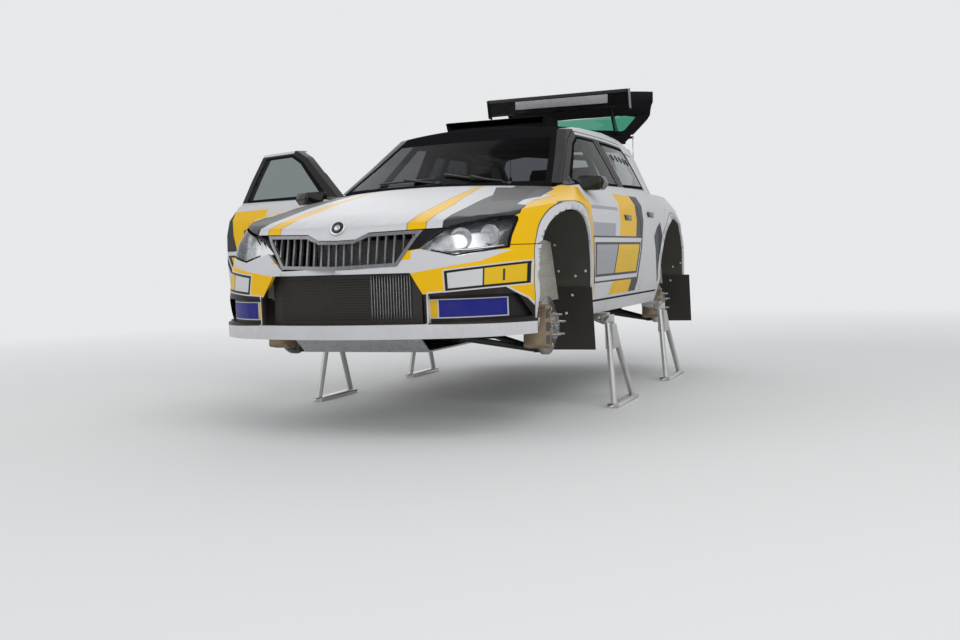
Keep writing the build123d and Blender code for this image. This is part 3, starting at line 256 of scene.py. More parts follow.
whiteLine = ("white", 0.007)
bumperBlocks = [
    # white under the grille, widening to a wedge under the lamp
    ("front", outlineXZ([(0, 600), (0, 530), (190, 530), (372, 538), (400, 600)]), "white", None),
    ("front", outlineXZ([(370, 538), (664, 585), (585, 628), (434, 648), (385, 600)]), "white", None),
    ("front", outlineXZ([(664, 585), (775, 634), (585, 630)]), "white", None),
    ("front", outlineXZ([(370, 560), (480, 590), (480, 652), (430, 650), (370, 640)]), "white", None),
    ("front", outlineXZ([(0, 530), (372, 530), (436, 428), (452, 300), (0, 300)]), "black", None),
    ("front", outlineXZ([(380, 440), (475, 440), (475, 296), (380, 296)]), "black", None),
    ("front", outlineXZ([(340, 640), (404, 649), (516, 742), (505, 762), (340, 762)]), "black", None),
    ("front", outlineXZ([(452, 442), (760, 462), (830, 404), (905, 262), (452, 262)]), "black", whiteLine),
    ("front", outlineXZ([(0, 303), (452, 303), (452, 200), (0, 200)]), "white", None),
    ("front", outlineXZ([(440, 302), (905, 292), (905, 200), (440, 200)]), "white", None),
    ("front", outlineXZ([(520, 544), (838, 578), (838, 474), (528, 452)]), "black", ("white", 0.006)),
    ("front", outlineXZ([(534, 534), (676, 550), (676, 474), (540, 464)]), "white", None),
    ("front", outlineXZ([(682, 551), (826, 566), (826, 484), (682, 475)]), "amber", None),
    ("front", outlineXZ([(748, 545), (756, 546), (756, 492), (748, 491)]), "darkGrey", None),
]
fenderBlocks = [
    ("plan", outlineXY([(560, -560), (640, -560), (681, -446), (786, 80), (560, 116)]), "white",
     ("darkGrey", 0.004)),
]
bonnetBlocks = [
    ("plan", outlineXY([(492, -900), (494, -668), (461, -336), (418, 187), (410, 420), (900, 420),
                        (900, -900)]), "darkGrey", None),
    ("plan", outlineXY([(345, -900), (341, -748), (314, -604), (296, -356), (272, 60), (262, 420), (376, 420),
                        (392, 60), (410, -379), (443, -640), (446, -900)]), "yellow", ("darkGrey", 0.003)),
    ("plan", outlineXY([(425, 190), (560, -250), (693, -130), (647, 236), (560, 250)]), "black", None),
    ("plan", outlineXY([(655, -252), (693, -127), (647, 420), (900, 420), (900, -252)]), "white", None),
]
# the stripes lean back up the doors, and a bare plate crosses them
sideBlocks = [
    ("side", outlineYZ([(1049, 676), (1440, 676), (1560, 960), (1150, 960)]), "yellow", None),
    ("side", outlineYZ([(1440, 676), (1610, 676), (1745, 960), (1560, 960)]), "darkGrey", None),
    ("side", outlineYZ([(820, 360), (1270, 360), (1440, 677), (1049, 677)]), "yellow", None),
    ("side", outlineYZ([(1270, 360), (1440, 360), (1611, 677), (1440, 677)]), "darkGrey", None),
    ("side", outlineYZ([(2010, 400), (1940, 700), (2100, 800), (2230, 400)]), "darkGrey", None),
    ("side", outlineYZ([(508, 700), (508, 775), (985, 775), (955, 700)]), "midGrey", None),
    ("side", outlineYZ([(508, 852), (508, 872), (1090, 872), (1082, 852)]), "midGrey", None),
    ("side", outlineYZ([(508, 446), (508, 690), (1590, 690), (1452, 446)]), "white", ("darkGrey", 0.010)),
    ("side", outlineYZ([(516, 470), (516, 664), (1562, 664), (1448, 470)]), "darkGrey", None),
    ("side", outlineYZ([(540, 484), (548, 650), (1000, 650), (905, 484)]), "midGrey", None),
    ("side", outlineYZ([(925, 484), (1020, 650), (1520, 650), (1425, 484)]), "amber", None),
    ("side", outlineYZ([(300, 332), (300, 345), (2100, 345), (2100, 332)]), "darkGrey", None),
    # black screen pillar and window surrounds
    ("side", outlineYZ([(250, 944), (640, 1002), (1165, 1322), (1165, 1420), (250, 1420)]), "black", None),
    ("side", outlineYZ([(640, 1002), (2384, 1032), (2302, 1272), (2214, 1334), (1165, 1334)]), "black", None),
    ("side", outlineYZ([(2395, 1010), (2300, 1290), (2560, 1290), (2680, 1010)]), "white", ("black", 0.010)),
]
paints = {
    "bumper": paint("bumperPaint", "yellow", bumperBlocks, flares=[0]),
    "fender": paint("fenderPaint", "yellow", fenderBlocks, flares=[0]),
    "bonnet": paint("bonnetPaint", "white", bonnetBlocks),
    "side": paint("sidePaint", "white", sideBlocks, flares=[wheelbase]),
    "openDoor": paint("openDoorPaint", "white", sideBlocks, doorTurn),
    "rear": paint("rearPaint", "white", [
        ("side", outlineYZ([(2600, 200), (3200, 200), (3200, 400), (2600, 400)]), "darkGrey", None)],
        flares=[wheelbase]),
    "roof": paint("roofPaint", "black", [], dust=0.03, roughness=0.5, gloss=0.01, specular=0.0),
    "duct": paint("ductPaint", "black", [
        ("front", outlineXZ([(446, 415), (757, 415), (757, 326), (446, 326)]), "white", None),
        ("front", outlineXZ([(450, 410), (484, 411), (484, 331), (450, 330)]), "amber", None),
        ("front", outlineXZ([(488, 411), (753, 411), (753, 331), (488, 331)]), "blue", None)],
        dust=0.3, roughness=0.4, gloss=0.0, specular=0.2),
}


def plain(name, colour, roughness, metallic=0.0, grain=60, depth=0.2, shadow=0.8, **more):
    shade = Shade(name)
    tone = shade.noise(grain, 4, 0.6)
    dark = tuple(c * shadow for c in colour)
    shade.join(shade.mix(shade.spread(tone, 0.3, 0.7), dark, colour), "Base Color")
    limits = max(roughness - 0.08, 0.02), min(roughness + 0.1, 1)
    shade.join(shade.spread(tone, 0.25, 0.75, *limits), "Roughness")
    shade.put(Metallic=metallic, **more)
    shade.bump(shade.noise(grain * 6, 3, 0.6), depth, 0.0006)
    return shade.material


finishes = {
    "trimBlack": plain("trimBlack", (0.020, 0.020, 0.021), 0.42, 0, 90),
    "glossBlack": plain("glossBlack", (0.010, 0.010, 0.011), 0.18, 0, 20, 0.02, Specular_IOR_Level=0.4),
    "linerOlive": plain("linerOlive", (0.055, 0.052, 0.040), 0.55, 0, 12, 0.35),
    "flapRubber": plain("flapRubber", (0.026, 0.022, 0.018), 0.6, 0, 14, 0.3),
    "cageGrey": plain("cageGrey", (0.20, 0.20, 0.21), 0.4, 0, 30, 0.05),
    # the cabin's grey is darkened as painted shade, for the shade that falls inside the shell
    "cabinShadeGrey": plain("cabinShadeGrey", (0.075, 0.075, 0.078), 0.5, 0, 25, 0.1),
    "alloy": plain("alloy", (0.55, 0.56, 0.57), 0.3, 1.0, 40, 0.1),
    "standAlloy": plain("standAlloy", (0.55, 0.55, 0.54), 0.36, 0.85, 18, 0.04, 0.9),
    "castTan": plain("castTan", (0.30, 0.225, 0.145), 0.6, 0.35, 45, 0.5),
    "steelDark": plain("steelDark", (0.035, 0.034, 0.033), 0.5, 0.5, 30, 0.3),
    "discSteel": plain("discSteel", (0.33, 0.32, 0.31), 0.34, 1.0, 55, 0.1),
    "chrome": plain("chrome", (0.82, 0.83, 0.84), 0.07, 1.0, 8, 0.01),
    "rimSilver": plain("rimSilver", (0.22, 0.22, 0.23), 0.25, 0.7, 30, 0.04),
    "suede": plain("suede", (0.016, 0.016, 0.017), 0.9, 0, 150, 0.5),
    "harnessRed": plain("harnessRed", (0.33, 0.015, 0.012), 0.7, 0, 260, 0.5),
    "fin": plain("fin", (0.06, 0.055, 0.05), 0.42, 0.8, 80, 0.2),
    "bodyGrey": plain("bodyGrey", (0.50, 0.50, 0.53), 0.4, 0, 20, 0.05),
    "lampRed": plain("lampRed", (0.35, 0.006, 0.008), 0.12, 0, 30, 0.05, Coat_Weight=1.0),
    "badgeSilver": plain("badgeSilver", (0.55, 0.56, 0.58), 0.15, 1.0, 30, 0.02),
    "blockAlloy": plain("blockAlloy", (0.22, 0.22, 0.22), 0.5, 0.8, 25, 0.6),
    "lampSilver": plain("lampSilver", (0.62, 0.63, 0.65), 0.22, 0.75, 26, 0.06),
    "bowlSilver": plain("bowlSilver", (0.78, 0.79, 0.80), 0.18, 0.55, 20, 0.03),
    "rivetWhite": plain("rivetWhite", (0.66, 0.65, 0.62), 0.4, 0, 40, 0.05),
    "shieldGrey": plain("shieldGrey", (0.40, 0.38, 0.33), 0.5, 0.3, 16, 0.2),
    "plateGrey": plain("plateGrey", (0.46, 0.46, 0.47), 0.4, 0, 30, 0.05),
}


def seatFabric():
    shade = Shade("seatFabric")
    weave = shade.tree.nodes.new("ShaderNodeTexWave")
    weave.inputs["Scale"].default_value = 180
    weave.inputs["Distortion"].default_value = 1.5
    shade.tree.links.new(shade.place, weave.inputs["Vector"])
    shade.join(shade.mix(shade.noise(9, 4), (0.012, 0.012, 0.014), (0.03, 0.03, 0.034)), "Base Color")
    shade.put(Roughness=0.85, Sheen_Weight=0.3)
    shade.bump(weave.outputs[1], 0.35, 0.0008)
    return shade.material


finishes["seatFabric"] = seatFabric()


edgeBand = {"colour": (0.012, 0.012, 0.013, 1), "roughness": 0.3, "specular": 0.0}


# Clear panes with a black edge band; the band follows the pane's own outline
def glazing(name, tint, view, outline, rim, top=None, turn=None, ior=1.12):
    shade = Shade(name, turn)
    shade.put(Base_Color=tint, Roughness=0.02, Transmission_Weight=1.0, IOR=ior, Specular_IOR_Level=0.3)
    axes = {"front": (shade.side, shade.z), "side": (shade.y, shade.z)}
    band = shade.inside(shade.maths("SUBTRACT", rim, shade.distance(*axes[view], outline)), 0, 0.0015)
    if top:
        strip = shade.inside(shade.maths("SUBTRACT", shade.z, top), 0, 0.002)
        band = shade.maths("MAXIMUM", band, strip)
    dark = shade.tree.nodes.new("ShaderNodeBsdfPrincipled")
    dark.inputs["Base Color"].default_value = edgeBand["colour"]
    dark.inputs["Roughness"].default_value = edgeBand["roughness"]
    dark.inputs["Specular IOR Level"].default_value = edgeBand["specular"]
    blend = shade.tree.nodes.new("ShaderNodeMixShader")
    out = next(n for n in shade.tree.nodes if n.type == "OUTPUT_MATERIAL")
    shade.tree.links.new(band, blend.inputs[0])
    shade.tree.links.new(shade.shader.outputs[0], blend.inputs[1])
    shade.tree.links.new(dark.outputs[0], blend.inputs[2])
    shade.tree.links.new(blend.outputs[0], out.inputs["Surface"])
    return shade.material


frontPane = outlineYZ([(650, 1012), (1502, 1018), (1470, 1322), (1168, 1322), (1040, 1268)])
rearPane = outlineYZ([(1622, 1018), (2378, 1042), (2290, 1262), (2213, 1322), (1582, 1322)])
screenPane = outlineXZ([(-700, 984), (652, 984), (505, 1352), (300, 1386), (-300, 1386)])
clearTint = (0.24, 0.27, 0.27)
# the screen's dark tint is painted shade, for the shaded cabin seen through it
screenShadeTint = (0.085, 0.09, 0.10)
finishes["frontGlass"] = glazing("frontGlass", clearTint, "side", frontPane, 0.016)
finishes["openGlass"] = glazing("openGlass", clearTint, "side", frontPane, 0.016, turn=doorTurn)
finishes["rearGlass"] = glazing("rearGlass", clearTint, "side", rearPane, 0.020)
finishes["screenGlass"] = glazing("screenGlass", screenShadeTint, "front", screenPane, 0.030, top=1.560, ior=1.04)


def simpleGlass(name, tint, ior=1.45, roughness=0.02):
    shade = Shade(name)
    shade.put(Base_Color=tint, Roughness=roughness, Transmission_Weight=1.0, IOR=ior)
    shade.bump(shade.noise(30, 2), 0.01, 0.0004)
    return shade.material


finishes["gateGlass"] = simpleGlass("gateGlass", (0.05, 0.30, 0.19), 1.12)
lampOutline = outlineXZ([(405, 652), (512, 739), (680, 785), (758, 791), (764, 776), (760, 645), (566, 612)])
finishes["lens"] = glazing("lens", (0.93, 0.95, 0.96), "front", lampOutline, 0.007)

# CAD nodes shown as smooth copies of themselves: finish and the angle that stays sharp
print("panels")
panelSkins = {
    "bonnet": ("bonnet", 40), "front_bumper": ("bumper", 34), "fender_left": ("fender", 34),
    "fender_right": ("fender", 34), "body_side_left": ("side", 32), "body_side_right": ("side", 32),
    "door_front_left": ("side", 32), "door_front_right": ("openDoor", 32), "door_rear_left": ("side", 32),
    "door_rear_right": ("side", 32), "roof_panel": ("roof", 32), "rear_bumper": ("rear", 32),
    "tailgate": ("roof", 32), "rear_wing": ("glossBlack", 25), "mirror_left": ("glossBlack", 40),
    "mirror_right": ("glossBlack", 40), "scuttle": ("trimBlack", 30), "duct_panels": ("duct", 30),
    "grille": ("rimSilver", 30), "windscreen": ("screenGlass", 40),
    "door_front_window_left": ("frontGlass", 40), "door_front_window_right": ("openGlass", 40),
    "door_rear_window_left": ("rearGlass", 40), "door_rear_window_right": ("rearGlass", 40),
    "tailgate_window": ("gateGlass", 40), "tail_lamps": ("lampRed", 30), "arch_liners": ("linerOlive", 40),
    "mud_flaps": ("flapRubber", 30), "floor_pan": ("cabinShadeGrey", 30), "front_frame": ("bodyGrey", 30),
    "radiator": ("fin", 30), "roll_cage": ("cageGrey", 50), "seats": ("seatFabric", 40),
    "dashboard": ("suede", 30), "engine_block": ("blockAlloy", 30), "rear_differential": ("blockAlloy", 30),
    "subframe_front": ("steelDark", 40), "subframe_rear": ("steelDark", 40), "uprights_rear": ("castTan", 40),
    "upright_front_left": ("castTan", 40), "upright_front_right": ("castTan", 40),
    "drive_shafts": ("steelDark", 40), "sump_guard": ("alloy", 30), "exhaust": ("discSteel", 40),
    "stands": ("standAlloy", 40), "strut_tube_left": ("glossBlack", 40),
    "strut_tube_right": ("glossBlack", 40), "strut_rod_left": ("chrome", 40),
    "strut_rod_right": ("chrome", 40), "hub_front_left": ("discSteel", 40),
    "hub_front_right": ("discSteel", 40), "hub_rear_left": ("discSteel", 40),
    "hub_rear_right": ("discSteel", 40), "steering_rack": ("steelDark", 40), "steering_wheel": ("suede", 40),
}
bodyOfNode = {name: body for body, names in frame["record"]["behaviour"]["bodies"].items() for name in names}


def lookOf(finish):
    return paints.get(finish) or finishes[finish]


def skinOf(node, finish, angle):
    source = nodes[node]
    piece = bpy.data.objects.new(node + "_skin", source.data.copy())
    bpy.context.scene.collection.objects.link(piece)
    piece.data.materials.clear()
    piece.data.materials.append(lookOf(finish))
    pick(piece)
    bpy.ops.object.mode_set(mode="EDIT")
    bpy.ops.mesh.select_all(action="SELECT")
    bpy.ops.mesh.remove_doubles(threshold=mergeGap)
    bpy.ops.object.mode_set(mode="OBJECT")
    smooth(piece, angle)
    addModifier(piece, "WEIGHTED_NORMAL", keep_sharp=True, weight=60)
    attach(piece, bodyOfNode[node])
    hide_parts(node)
    return piece


skins = {node: skinOf(node, *look) for node, look in panelSkins.items()}


# New pieces: helpers that start from a primitive and finish it
def finishPiece(piece, name, finish, body):
    piece.name = name
    piece.data.materials.clear()
    piece.data.materials.append(lookOf(finish))
    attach(piece, body)
    return piece


def addBlock(name, low, high, finish, body="body", bevel=0.003, turn=None):
    clearSelection()
    low, high = Vector(low), Vector(high)
    bpy.ops.mesh.primitive_cube_add(size=1, location=(0, 0, 0))
    piece = bpy.context.object
    piece.scale = high - low
    if turn:
        piece.rotation_euler = turn
    piece.location = (low + high) / 2
    applyPlace(piece)
    addModifier(piece, "BEVEL", width=bevel, segments=3)
    smooth(piece)
    return finishPiece(piece, name, finish, body)


def addRod(name, start, end, radius, finish, body="body", slot="matte_black", bevel=0.001, sides=20):
    clearSelection()
    start, end = Vector(start), Vector(end)
    bpy.ops.mesh.primitive_cylinder_add(vertices=sides, radius=radius, depth=(end - start).length)
    piece = bpy.context.object
    piece.rotation_euler = (end - start).to_track_quat("Z", "Y").to_euler()
    piece.location = (start + end) / 2
    applyPlace(piece)
    addModifier(piece, "BEVEL", width=bevel, segments=2)
    smooth(piece, 50)
    return finishPiece(piece, name, finish, body)


def joined(pieces, name, finish, body):
    pick(pieces[0])
    for piece in pieces[1:]:
        piece.select_set(True)
    bpy.ops.object.join()
    return finishPiece(bpy.context.object, name, finish, body)


bowlRings = ((0.93, 0.16), (0.80, 0.24), (0.62, 0.24), (0.40, 0.2), (0.18, 0.16))  # width, share of the depth


def addBowl(name, place, aim, radius, depth, finish):
    clearSelection()
    bpy.ops.mesh.primitive_circle_add(vertices=40, radius=radius, fill_type="NOTHING")
    piece = bpy.context.object
    bpy.ops.object.mode_set(mode="EDIT")
    bpy.ops.mesh.select_all(action="SELECT")
    width = 1.0
    for share, down in bowlRings:
        bpy.ops.mesh.extrude_region_move(TRANSFORM_OT_translate={"value": (0, 0, -depth * down)})
        bpy.ops.transform.resize(value=(share / width, share / width, 1))
        width = share
    bpy.ops.mesh.edge_face_add()
    bpy.ops.object.mode_set(mode="OBJECT")
    piece.rotation_euler = Vector(aim).to_track_quat("Z", "Y").to_euler()
    piece.location = place
    applyPlace(piece)
    addModifier(piece, "SOLIDIFY", thickness=0.002)
    smooth(piece, 60)
    return finishPiece(piece, name, finish, "body")


def addPanel(name, corners, thickness, finish, body="body", bevel=0.0012):
    clearSelection()
    bpy.ops.mesh.primitive_plane_add(size=1)
    piece = bpy.context.object
    for vertex, i in zip(piece.data.vertices, (0, 1, 3, 2)):
        vertex.co = corners[i]
    addModifier(piece, "SOLIDIFY", thickness=thickness, offset=0)
    addModifier(piece, "BEVEL", width=bevel, segments=2)
    smooth(piece)
    return finishPiece(piece, name, finish, body)


def addHoop(name, place, aim, radius, thickness, finish):
    clearSelection()
    bpy.ops.mesh.primitive_torus_add(major_radius=radius, minor_radius=thickness, major_segments=48,
                                     minor_segments=12)
    piece = bpy.context.object
    piece.rotation_euler = Vector(aim).to_track_quat("Z", "Y").to_euler()
    piece.location = place
    applyPlace(piece)
    smooth(piece, 60)
    return finishPiece(piece, name, finish, "body")


# Headlamps: the clear outer face, a bucket behind it, and reflectors
print("headlamps")
lampSpec = {
    "clear": Vector((0.55, -0.8, 0.12)), "facing": 0.45,  # the way that the outer face looks, on the left
    "bowls": [((560, -640, 690), 0.047, 0.040), ((668, -545, 706), 0.043, 0.036)],  # place, radius, depth
    "aim": (0.25, -1, 0.05), "hoop": 1.03, "hoopThickness": 0.0035, "barRadius": 0.006,
    "bar": [((500, -700, 636), (620, -628, 640)), ((620, -628, 640), (735, -520, 655))],
}


def keepFaces(piece, outer):
    pick(piece)
    bpy.ops.object.mode_set(mode="EDIT")
    bpy.ops.mesh.select_all(action="DESELECT")
    bpy.ops.object.mode_set(mode="OBJECT")
    clear = lampSpec["clear"]
    for face in piece.data.polygons:
        aim = Vector((math.copysign(clear.x, face.center.x), *clear.yz)).normalized()
        face.select = (face.normal.dot(aim) > lampSpec["facing"]) != outer
    bpy.ops.object.mode_set(mode="EDIT")
    bpy.ops.mesh.delete(type="FACE")
    bpy.ops.object.mode_set(mode="OBJECT")


def makeHeadlamps():
    lens = skinOf("headlamps", "lens", 34)
    bucket = bpy.data.objects.new("headlamp_buckets", lens.data.copy())
    bpy.context.scene.collection.objects.link(bucket)
    keepFaces(lens, True)
    keepFaces(bucket, False)
    finishPiece(bucket, "headlamp_buckets", "lampSilver", "body")
    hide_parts("headlamps")
    aim = lampSpec["aim"]
    for i, (place, radius, depth) in enumerate(lampSpec["bowls"]):
        middle = spot(*place)
        addBowl(f"bowl_{i}", middle, aim, radius, depth, "bowlSilver")
        addHoop(f"bowl_ring_{i}", middle, aim, radius * lampSpec["hoop"], lampSpec["hoopThickness"],
                "badgeSilver")
    for i, (start, end) in enumerate(lampSpec["bar"]):
        addRod(f"lamp_bar_{i}", spot(*start), spot(*end), lampSpec["barRadius"], "badgeSilver")


# Front trim: the badge's plain discs, the bonnet pins, and the fins and lines in the intake
print("trim")
badgeSpec = {
    "place": (0, -797, 759), "aim": (0, -0.86, 0.5), "radius": 0.037,
    "discs": [  # name, share of the radius, back, front, finish, bevel, sides
        ("badge_rim", 1.0, 0.004, 0.004, "chrome", 0.002, 48),
        ("badge_disc", 0.86, 0.004, 0.0052, "glossBlack", 0.001, 48),
        ("badge_centre", 0.42, 0.0, 0.0068, "badgeSilver", 0.002, 32),
    ],
}
pinSpec = {"place": (565, -150, 872), "aim": (0.08, -0.22, 1), "plateRadius": 0.024, "radius": 0.006,
           "back": 0.004, "front": 0.003, "length": 0.012}
intakeSpec = {
    "z": (0.585, 0.79), "ahead": 0.004, "half": 0.004, "bevel": 0.0006,  # ahead of the radiator's face
    "finX": (-0.355, 0.125), "finStep": 0.0125, "finHeight": 0.002,
    "lineX": 0.140, "lineStep": 0.0145, "lineWidth": 0.0022, "lines": 15,
}


def makeBadge():
    aim = Vector(badgeSpec["aim"]).normalized()
    middle = spot(*badgeSpec["place"])
    for name, share, back, front, finish, bevel, sides in badgeSpec["discs"]:
        addRod(name, middle - aim * back, middle + aim * front, badgeSpec["radius"] * share, finish, "bonnet",
               "grille_black", bevel, sides)


def makePins():
    up = Vector(pinSpec["aim"]).normalized()
    x, y, z = pinSpec["place"]
    for side, hand in ((1, "left"), (-1, "right")):
        way = Vector((side * up.x, up.y, up.z))
        foot = spot(side * x, y, z)
        addRod(f"bonnet_pin_plate_{hand}", foot - way * pinSpec["back"], foot + way * pinSpec["front"],
               pinSpec["plateRadius"], "trimBlack", "bonnet", sides=28)
        addRod(f"bonnet_pin_{hand}", foot, foot + way * pinSpec["length"], pinSpec["radius"], "chrome",
               "bonnet", "rod_chrome")


def makeIntake():
    half = intakeSpec["half"]
    face = Vector(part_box("radiator")[0]).y - intakeSpec["ahead"]
    bottom, top = intakeSpec["z"]
    fins = []
    for i in range(int((top - bottom) / intakeSpec["finStep"])):
        z = bottom + i * intakeSpec["finStep"]
        fins.append(addBlock(f"fin_{i}", (intakeSpec["finX"][0], face - half, z),
                             (intakeSpec["finX"][1], face + half, z + intakeSpec["finHeight"]), "fin",
                             bevel=intakeSpec["bevel"]))
    joined(fins, "intake_fins", "fin", "body")
    lines = []
    for i in range(intakeSpec["lines"]):
        x = intakeSpec["lineX"] + i * intakeSpec["lineStep"]
        lines.append(addBlock(f"line_{i}", (x, face - half, bottom),
                              (x + intakeSpec["lineWidth"], face + half, top), "alloy",
                              bevel=intakeSpec["bevel"]))
    joined(lines, "intake_lines", "alloy", "body")


# Wheel arches: rivets, the slotted shield over the brake, and the caliper's windows and bolts
print("arches")
axles = (("front", 0), ("rear", wheelbase))
rivetSpec = {
    "places": [(867, 387, 508), (808, 391, 482), (787, 393, 378), (746, 405, 279), (714, 384, 511),
               (715, 322, 654)],
    "inset": (14, 4), "length": 0.008, "radius": 0.0075, "sides": 14,
}
shieldSpec = {
    "corners": [(755, -178, 366), (755, 200, 366), (755, 90, 668), (755, -178, 700)], "thickness": 0.003,
    "louvres": (425, 497, 563), "louvreX": 757, "louvreY": (-150, 95), "louvreHalf": (3, 6),
    "louvreBevel": 0.003, "brackets": (470, 590), "bracketX": (668, 756), "bracketRadius": 0.008,
}
caliperSpec = {
    "windows": (178, 243, 308), "windowX": 806, "windowY": (-165, -108), "windowHalf": (2, 22),
    "windowBevel": 0.0018, "bolts": (150, 243, 330), "boltX": (804, 816), "boltY": -96, "boltRadius": 0.009,
}


def makeRivets(tag, y):
    rivets = []
    inX, inY = rivetSpec["inset"]
    for side in (1, -1):
        for i, (x, dy, z) in enumerate(rivetSpec["places"]):
            middle = spot(side * (x - inX), y + dy - inY, z)
            rivets.append(addRod(f"rivet_{i}", middle, middle + Vector((0, rivetSpec["length"], 0)),
                                 rivetSpec["radius"], "rivetWhite", sides=rivetSpec["sides"]))
    joined(rivets, f"liner_rivets_{tag}", "rivetWhite", "body")


# Flat plates that stand at one distance from the centre line, one over the other
def addPlates(name, side, y, x, spanY, heights, half, finish, body, bevel):
    return [addBlock(name, spot(side * x - half[0], y + spanY[0], z - half[1]),
                     spot(side * x + half[0], y + spanY[1], z + half[1]), finish, body, bevel=bevel)
            for z in heights]


def makeBrake(tag, y, side, hand):
    body = f"upright_front_{hand}" if tag == "front" else "body"
    corners = [spot(side * x, y + dy, z) for x, dy, z in shieldSpec["corners"]]
    shield = [addPanel("shield", corners, shieldSpec["thickness"], "shieldGrey", body)]
    shield += addPlates("louvre", side, y, shieldSpec["louvreX"], shieldSpec["louvreY"],
                        shieldSpec["louvres"], shieldSpec["louvreHalf"], "shieldGrey", body,
                        shieldSpec["louvreBevel"])
    near, far = shieldSpec["bracketX"]
    for z in shieldSpec["brackets"]:
        shield.append(addRod("bracket", spot(side * near, y, z), spot(side * far, y, z),
                             shieldSpec["bracketRadius"], "steelDark", body))
    joined(shield, f"brake_shield_{tag}_{hand}", "shieldGrey", body)
    windows = addPlates("window", side, y, caliperSpec["windowX"], caliperSpec["windowY"],
                        caliperSpec["windows"], caliperSpec["windowHalf"], "trimBlack", body,
                        caliperSpec["windowBevel"])
    joined(windows, f"caliper_windows_{tag}_{hand}", "trimBlack", body)
    near, far = caliperSpec["boltX"]
    place = y + caliperSpec["boltY"]
    bolts = [addRod("bolt", spot(side * near, place, z), spot(side * far, place, z),
                    caliperSpec["boltRadius"], "alloy", body, sides=6) for z in caliperSpec["bolts"]]
    joined(bolts, f"caliper_bolts_{tag}_{hand}", "alloy", body)


def makeArches():
    for tag, y in axles:
        makeRivets(tag, y)
        for side, hand in ((1, "left"), (-1, "right")):
            makeBrake(tag, y, side, hand)


# Cabin: pads and belts in the two seat shells
print("cabin")
seatSpec = {
    "x": 350, "half": 132, "lean": 14.5, "tilt": 6,
    "cushion": ((985, 476), (1335, 540)), "cushionBevel": 0.028,  # y and z of the low and the high corner
    "back": ((1375, 540), (1428, 1040)), "backBevel": 0.024,
    "belt": ((1362, 560), (1367, 1050)), "beltX": 62, "beltHalf": 22, "beltBevel": 0.0015,
}


def addSeatBlock(name, x, half, part, finish, tilt):
    low, high = seatSpec[part]
    return addBlock(name, spot(x - half, *low), spot(x + half, *high), finish,
                    bevel=seatSpec[part + "Bevel"], turn=(tilt, 0, 0))


def makeCabin():
    lean = math.radians(-seatSpec["lean"])
    tilt = math.radians(-seatSpec["tilt"])
    for side, hand in ((1, "left"), (-1, "right")):
        x = side * seatSpec["x"]
        pads = [addSeatBlock(f"seat_{part}_{hand}", x, seatSpec["half"], part, "seatFabric",
                             turn) for part, turn in (("cushion", tilt), ("back", lean))]
        for pad in pads:
            addModifier(pad, "SUBSURF", levels=1, render_levels=1)
            smooth(pad, 80)
        belts = [addSeatBlock("belt", x + way * seatSpec["beltX"], seatSpec["beltHalf"], "belt",
                              "harnessRed", lean) for way in (1, -1)]
        joined(belts, f"harness_{hand}", "harnessRed", "body")


wingPlateSpec = {"corners": [(-326, 2588, 1768), (398, 2588, 1767), (391, 2607, 1706), (-333, 2607, 1711)],
                 "thickness": 0.003}
handleSpec = {
    "places": (("front", 0.866, 1281, 813), ("rear", 0.862, 1892, 845)),  # the middle of each handle
    "half": 0.006, "length": 0.15, "height": 0.034, "bevel": 0.005, "shift": (75, 17),
}


def makeWingPlate():
    addPanel("wing_plate", [spot(*corner) for corner in wingPlateSpec["corners"]], wingPlateSpec["thickness"],
             "plateGrey", "tailgate")


def makeHandles():
    half, (backY, downZ) = handleSpec["half"], handleSpec["shift"]
    for tag, x, y, z in handleSpec["places"]:
        for side, hand in ((1, "left"), (-1, "right")):
            piece = addBlock(f"door_handle_{tag}_{hand}", (side * x - half, 0, 0),
                             (side * x + half, handleSpec["length"], handleSpec["height"]), "glossBlack",
                             f"door_{tag}_{hand}", handleSpec["bevel"])
            piece.data.transform(Matrix.Translation(spot(0, y - backY, z - downZ)))
            if tag == "front" and side < 0:  # this door stands open
                swing = Matrix.Rotation(openDoor, 4, "Z")
                piece.data.transform(Matrix.Translation(doorHinge) @ swing @ Matrix.Translation(-doorHinge))


# The strip under the grille on the car's right: the one on its left, copied and moved across
stripBox = {"x": (0.0, 0.300), "z": (0.798, 0.836), "y": -2.20}


def makeStrip():
    piece = bpy.data.objects.new("bumper_strip", skins["front_bumper"].data.copy())
    bpy.context.scene.collection.objects.link(piece)
    pick(piece)
    bpy.ops.object.mode_set(mode="EDIT")
    inner, outer = stripBox["x"]
    bottom, top = stripBox["z"]
    cuts = [((inner, 0, 0), (-1, 0, 0)), ((outer, 0, 0), (1, 0, 0)), ((0, 0, bottom), (0, 0, -1)),
            ((0, 0, top), (0, 0, 1)), ((0, stripBox["y"], 0), (0, 1, 0))]
    for place, way in cuts:
        bpy.ops.mesh.select_all(action="SELECT")
        bpy.ops.mesh.bisect(plane_co=place, plane_no=way, use_fill=True, clear_outer=True)
    bpy.ops.object.mode_set(mode="OBJECT")
    low = min(vertex.co.x for vertex in piece.data.vertices)
    piece.data.transform(Matrix.Translation((-outer - low, 0, 0)))
    bpy.ops.object.mode_set(mode="EDIT")
    bpy.ops.mesh.select_all(action="SELECT")
    bpy.ops.mesh.remove_doubles(threshold=mergeGap)
    bpy.ops.mesh.normals_make_consistent(inside=False)
    bpy.ops.object.mode_set(mode="OBJECT")
    smooth(piece, 34)
    finishPiece(piece, "bumper_strip", "bumper", "body")


